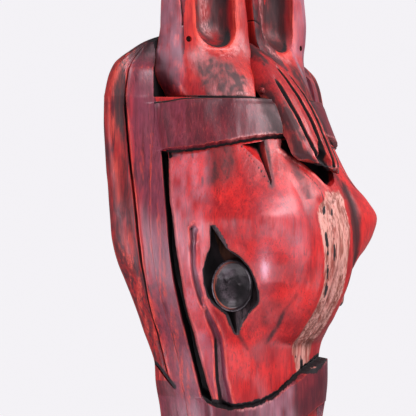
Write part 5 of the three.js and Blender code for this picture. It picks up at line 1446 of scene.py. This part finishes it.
def paint(name, red=RED, red_deep=RED_DEEP, plum=PLUM, seed=0.0):
    N = Nodes(name)
    M, A, S = (lambda a, b: N.math("MULTIPLY", a, b)), (lambda a, b: N.math("ADD", a, b)), (lambda a, b: N.math("SUBTRACT", a, b))
    grain_vec = N.mapping((1, 1, 0.06), loc=(seed, seed, seed))
    fine_vec = N.mapping((1, 1, 0.22), loc=(seed * 2, 0, seed))
    g1 = N.noise(1000, 4, 0.6, grain_vec, 0.3)          # hair-thin streaks
    g2 = N.noise(240, 4, 0.6, grain_vec, 0.6)           # broader streaks
    b1 = N.noise(34, 6, 0.62, None, 0.5)                # blotches
    b2 = N.noise(150, 6, 0.72, fine_vec, 0.4)           # dabs
    sp = N.noise(900, 3, 0.7, fine_vec)                 # specks
    dabs = A(M(b1, 0.42), M(b2, 0.58))
    tone = A(A(M(b1, 0.45), M(g2, 0.3)), M(b2, 0.25))
    redc = N.mix(N.ramp(tone, 0.40, 0.60), red_deep, red)
    plumc = N.mix(N.ramp(tone, 0.40, 0.62), PLUM_DEEP, plum)
    plum_m = A(N.attr("plum"), M(S(b2, 0.5), 0.5))
    col = N.mix(N.ramp(plum_m, 0.36, 0.66), redc, plumc)
    # painted sheen in mauve
    painted_sheen_m = M(N.ramp(A(N.attr("painted_sheen"), M(S(A(M(b2, 0.35), M(g2, 0.65)), 0.5), 2.4)), 0.20, 1.15), N.ramp(N.attr("painted_sheen"), 0.02, 0.3))
    col = N.mix(M(painted_sheen_m, 0.8), col, SHEEN_MAUVE)
    mane_m = M(N.attr("mane"), N.ramp(g2, 0.40, 0.60))
    col = N.mix(M(mane_m, 0.8), col, red)
    col = N.mix(M(N.ramp(g1, 0.52, 0.70), 0.55), col, srgb(72, 18, 24))
    col = N.mix(M(N.ramp(g1, 0.46, 0.30), 0.20), col, srgb(222, 92, 78))
    # dark wash and painted shade, gathered in hollows and broken up by dabs and grain
    wash_shade = A(N.attr("wash_and_shade"), M(N.attr("cav"), 0.35))
    wash_shade = A(wash_shade, M(S(A(M(dabs, 0.75), M(g2, 0.25)), 0.5), 2.1))
    wash_shade_m = M(N.ramp(wash_shade, 0.42, 0.98), N.ramp(A(N.attr("wash_and_shade"), M(N.attr("cav"), 0.5)), 0.02, 0.25))
    col = N.mix(M(wash_shade_m, 0.92), col, WASH_SHADE_COLOUR)
    flecks = M(N.ramp(M(b2, sp), 0.30, 0.40), 0.55)
    col = N.mix(flecks, col, srgb(64, 16, 20))
    # rubbed places, and painted highlights
    edge_w = A(N.attr("wear"), M(N.attr("ridge"), 0.45))
    rub = M(N.ramp(edge_w, 0.08, 0.75), N.ramp(A(M(g1, 0.45), M(b2, 0.55)), 0.40, 0.60))
    col = N.mix(rub, col, ORANGE)
    # pale rubbed paint and painted highlights, in pink
    pale_wear_highlight_m = M(N.ramp(N.attr("pale_wear_and_highlight"), 0.1, 0.9), N.ramp(A(M(sp, 0.5), M(b2, 0.5)), 0.42, 0.60))
    col = N.mix(M(pale_wear_highlight_m, 0.72), col, PINK)
    # painted highlight in pale pink
    col = N.mix(M(M(N.attr("painted_highlight"), N.ramp(A(M(g1, 0.5), M(b2, 0.5)), 0.28, 0.52)), 0.88), col, srgb(252, 200, 214))
    # dark wax in the cuts, and black painted shade where the dark mask marks shade
    wax_and_shade = A(A(N.attr("dark"), M(M(N.attr("cav"), N.attr("cav")), 0.22)), M(S(A(M(g1, 0.4), M(b2, 0.6)), 0.5), 0.8))
    wax_and_shade_m = M(N.ramp(wax_and_shade, 0.34, 0.66), N.ramp(A(N.attr("dark"), M(N.attr("cav"), 0.3)), 0.03, 0.22))
    wax_and_shade_col = N.mix(M(N.attr("sock"), N.ramp(A(M(sp, 0.4), M(b2, 0.6)), 0.40, 0.58)), BLACK, srgb(92, 76, 78))
    col = N.mix(wax_and_shade_m, col, wax_and_shade_col)
    # bare stripe with black cracks
    edge = A(N.attr("bare"), M(S(A(M(sp, 0.4), M(b2, 0.6)), 0.5), 1.5))
    bare_m = N.ramp(edge, 0.36, 0.62)
    grain = A(M(g1, 0.5), M(g2, 0.5))
    barec = N.mix(N.ramp(grain, 0.43, 0.57), BARE_DARK, BARE)
    barec = N.mix(M(N.ramp(b2, 0.50, 0.64), 0.42), barec, srgb(196, 86, 72))
    barec = N.mix(M(N.attr("ridge"), 0.5), barec, srgb(232, 170, 158))
    barec = N.mix(M(N.attr("cav"), 0.6), barec, srgb(84, 44, 36))
    col = N.mix(M(bare_m, 0.94), col, barec)
    crk = A(N.attr("crack"), M(S(A(M(sp, 0.5), M(b2, 0.5)), 0.5), 1.2))
    col = N.mix(M(N.ramp(crk, 0.40, 0.60), N.ramp(N.attr("crack"), 0.02, 0.2)), col, BLACK)
    # stained wood at the back and in the hollow
    rawc = N.mix(N.ramp(grain, 0.38, 0.62), RAW_DARK, RAW)
    rawc = N.mix(M(N.ramp(b1, 0.5, 0.7), 0.4), rawc, srgb(88, 30, 26))
    raw_m = N.ramp(N.attr("raw"), 0.4, 0.6)
    col = N.mix(raw_m, col, rawc)
    N.link(col, N.bsdf.inputs["Base Color"])
    # varnish
    rough = A(0.30, M(b2, 0.20))
    rough = A(rough, M(bare_m, 0.20))
    rough = A(rough, M(raw_m, 0.38))
    rough = A(rough, M(wash_shade_m, 0.20))
    rough = A(rough, M(wax_and_shade_m, 0.24))
    N.link(rough, N.bsdf.inputs["Roughness"])
    N.bsdf.inputs["Specular IOR Level"].default_value = 0.52
    nb = N.bump(g1, 0.20, 0.0004)
    nb = N.bump(g2, 0.16, 0.0009, nb)
    nb = N.bump(b2, 0.20, 0.0008, nb)
    nb = N.bump(wax_and_shade_m, 0.25, 0.0003, nb)
    N.link(nb, N.bsdf.inputs["Normal"])
    return N.mat


def plain_wood(name):
    N = Nodes(name)
    v = N.mapping((1, 0.1, 1))
    g = N.noise(500, 5, 0.6, v)
    b = N.noise(60, 4, 0.5)
    col = N.mix(N.ramp(N.math("ADD", N.math("MULTIPLY", g, 0.6), N.math("MULTIPLY", b, 0.4)), 0.4, 0.62), srgb(150, 104, 66), srgb(208, 168, 122))
    N.link(col, N.bsdf.inputs["Base Color"])
    N.link(N.math("ADD", 0.55, N.math("MULTIPLY", b, 0.2)), N.bsdf.inputs["Roughness"])
    N.link(N.bump(g, 0.3, 0.0003), N.bsdf.inputs["Normal"])
    return N.mat


def metal(name, light, dark_, rough, rust=0.0):
    N = Nodes(name)
    b = N.noise(160, 5, 0.6)
    s = N.noise(900, 3, 0.6)
    col = N.mix(N.ramp(b, 0.4, 0.65), dark_, light)
    if rust:
        col = N.mix(N.math("MULTIPLY", N.ramp(s, 0.5, 0.65), rust), col, srgb(96, 50, 30))
    N.link(col, N.bsdf.inputs["Base Color"])
    N.bsdf.inputs["Metallic"].default_value = 1.0
    N.link(N.math("ADD", rough, N.math("MULTIPLY", s, 0.2)), N.bsdf.inputs["Roughness"])
    N.link(N.bump(s, 0.15, 0.0002), N.bsdf.inputs["Normal"])
    return N.mat


def eye_paint(name):
    N = Nodes(name)
    b = N.noise(260, 5, 0.65)
    s = N.noise(900, 3, 0.7)
    col = N.mix(N.ramp(b, 0.38, 0.66), srgb(13, 9, 11), srgb(34, 27, 31))
    mixed = N.math("ADD", N.math("MULTIPLY", s, 0.5), N.math("MULTIPLY", b, 0.5))
    # painted sheen in grey on one side of the dish
    col = N.mix(N.math("MULTIPLY", N.attr("grey_sheen"), N.ramp(mixed, 0.36, 0.60)), col, srgb(90, 78, 84))
    col = N.mix(N.math("MULTIPLY", N.attr("rim"), N.ramp(mixed, 0.34, 0.48)), col, srgb(206, 104, 80))
    col = N.mix(N.math("MULTIPLY", N.attr("lip"), N.ramp(mixed, 0.44, 0.58)), col, srgb(120, 110, 116))
    col = N.mix(N.math("MULTIPLY", N.attr("pit"), 0.9), col, srgb(8, 6, 8))
    N.link(col, N.bsdf.inputs["Base Color"])
    N.link(N.math("ADD", 0.30, N.math("MULTIPLY", b, 0.2)), N.bsdf.inputs["Roughness"])
    nb = N.bump(b, 0.25, 0.0006)
    N.link(N.bump(s, 0.2, 0.0003, nb), N.bsdf.inputs["Normal"])
    return N.mat


def disc_masks(ob, side):
    co = coords(ob.data) / MM
    x, d, z = co[:, 0] * side, -co[:, 1], co[:, 2]
    r2 = math.sqrt(0.5)
    u = (-(x - EYE_X) + (d - EYE_D)) * r2
    v = z - EYE_Z
    rr = np.hypot((u - DISC_U) / DISC_RX, (v - DISC_V) / DISC_RZ)
    rim = np.exp(-(((rr - 0.885) / 0.022) ** 2)) * step(6, -6, u)
    rim = np.maximum(rim, 0.7 * np.exp(-(((rr - 0.80) / 0.016) ** 2)) * step(2, -7, u) * step(-6, 0, v))
    lip = np.exp(-(((rr - 0.965) / 0.03) ** 2)) * step(10, -4, u)
    pit = np.exp(-(((u + 1.2) / 1.7) ** 2 + ((v + 0.6) / 1.8) ** 2))
    attribute(ob, "rim", rim)
    attribute(ob, "lip", lip)
    attribute(ob, "pit", np.clip(pit, 0, 1))
    # painted sheen: the dish is grey on its outer half and stays dark towards the centre line
    attribute(ob, "grey_sheen", np.clip(step(0.80, 0.45, rr) * step(5.5, 0.5, u) * (0.45 + 0.85 * step(0.12, 0.40, rr)), 0, 1))


for nm, sd in (("right", -1), ("left", 1)):
    disc_masks(discs[nm], sd)

face_mat = paint("face_paint_looks")
mane_mat = paint("mane_paint_looks", seed=0.31)
ear_mat = paint("ear_paint_looks", red=srgb(206, 46, 38), seed=0.17)
lock_mat = paint("forelock_paint_looks", red=srgb(196, 38, 36), seed=0.53)
eye_mat = eye_paint("eye_paint_looks")
dowel_mat = plain_wood("dowel_wood_looks")
iron_mat = metal("nail_iron_looks", srgb(84, 48, 46), srgb(34, 20, 20), 0.45, 0.6)
brass_mat = metal("hanger_brass_looks", srgb(206, 174, 108), srgb(140, 108, 58), 0.28)

for ob, mat, node, slot in (
    (head, face_mat, "head_block", "face_paint"),
    (boards["right"], mane_mat, "mane_board_right", "mane_paint"),
    (boards["left"], mane_mat, "mane_board_left", "mane_paint"),
    (ears["right"], ear_mat, "ear_right", "ear_paint"),
    (ears["left"], ear_mat, "ear_left", "ear_paint"),
    (lock, lock_mat, "forelock", "forelock_paint"),
    (discs["right"], eye_mat, "eye_disc_right", "eye_paint"),
    (discs["left"], eye_mat, "eye_disc_left", "eye_paint"),
):
    ob.data.materials.clear()
    ob.data.materials.append(mat)
    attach(ob, "mask")
    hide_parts(node)

for node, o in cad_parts.items():
    mat = None
    if "dowel" in node or "peg" in node:
        mat = dowel_mat
    elif "nail" in node:
        mat = iron_mat
    elif "hanger" in node:
        mat = brass_mat
    if mat is not None:
        for slot_ in o.material_slots:
            slot_.link = "OBJECT"
            slot_.material = mat

# ------------------------------------------------------------------ stage, light and camera
def studio():
    n = 64
    a = np.linspace(0, 2 * np.pi, n, endpoint=False)
    prof = [(0.001, -900), (1400, -900), (2200, -900)]
    for k in range(1, 9):
        b = k / 8 * math.pi / 2
        prof.append((2200 + 900 * math.sin(b), -900 + 900 * (1 - math.cos(b))))
    prof += [(3100, 1200), (3100, 2600)]
    rings = np.array([[(r * math.cos(t), r * math.sin(t), z) for t in a] for r, z in prof])
    v = rings.reshape(-1, 3)
    base = (np.arange(len(prof) - 1) * n)[:, None]
    k = np.arange(n)[None]
    k1 = (k + 1) % n
    quads = np.stack([base + k, base + k1, base + n + k1, base + n + k], -1).reshape(-1, 4)
    me = bpy.data.meshes.new("studio")
    me.from_pydata([tuple(p * MM) for p in v], [], [tuple(int(i) for i in f) for f in quads])
    me.polygons.foreach_set("use_smooth", np.ones(len(me.polygons), bool))
    ob = bpy.data.objects.new("studio", me)
    bpy.context.scene.collection.objects.link(ob)
    m = bpy.data.materials.new("studio")
    m.use_nodes = True
    bs = m.node_tree.nodes["Principled BSDF"]
    bs.inputs["Base Color"].default_value = (0.10, 0.10, 0.105, 1)
    bs.inputs["Roughness"].default_value = 0.9
    bs.inputs["Specular IOR Level"].default_value = 0.1
    bs.inputs["Emission Color"].default_value = (0.985, 0.97, 1.0, 1)
    bs.inputs["Emission Strength"].default_value = 0.86
    me.materials.append(m)
    ob.visible_diffuse = False
    ob.visible_glossy = False
    return ob


studio()


def area(name, az, el, dist, size, power, colour=(1, 1, 1), size_y=None, aim=(0, -0.05, -0.09)):
    li = bpy.data.lights.new(name, "AREA")
    li.shape = "RECTANGLE"
    li.size, li.size_y = size, size_y or size
    li.energy = power
    li.color = colour
    ob = bpy.data.objects.new(name, li)
    a, e = math.radians(az), math.radians(el)
    back = Vector((math.sin(a) * math.cos(e), -math.cos(a) * math.cos(e), math.sin(e)))
    ob.location = Vector(aim) + back * dist
    ob.rotation_euler = (-back).to_track_quat("-Z", "Y").to_euler()
    bpy.context.scene.collection.objects.link(ob)
    return ob


area("key", 34, 44, 1.7, 0.55, 17, (1.0, 0.93, 0.96))
area("front", -4, 43, 1.9, 0.5, 20, (1.0, 0.90, 0.985), 0.4)
area("left", -98, -24, 2.0, 1.2, 50, (1.0, 0.86, 1.0), 1.3)
area("low", -44, -36, 1.8, 0.6, 10, (1.0, 0.90, 0.985))
area("fill", 14, -34, 2.0, 1.1, 36, (1.0, 0.88, 1.0))

world = bpy.data.worlds.new("world")
bpy.context.scene.world = world
world.use_nodes = True
world.node_tree.nodes["Background"].inputs[0].default_value = (0.98, 0.92, 1.0, 1)
world.node_tree.nodes["Background"].inputs[1].default_value = 0.30

cam_data = bpy.data.cameras.new("camera")
cam_data.sensor_width = 36
cam_data.lens = 1932 / 416 * 36
cam_data.clip_end = 50
cam = bpy.data.objects.new("camera", cam_data)
r = math.sqrt(0.5)
cam.location = Vector((-1.300 * r - 0.0059 * r, -1.300 * r + 0.0059 * r, -0.0931))
cam.rotation_euler = (math.radians(90), 0, math.radians(-45))
bpy.context.scene.collection.objects.link(cam)
bpy.context.scene.camera = cam
bpy.context.scene.view_settings.view_transform = "Standard"
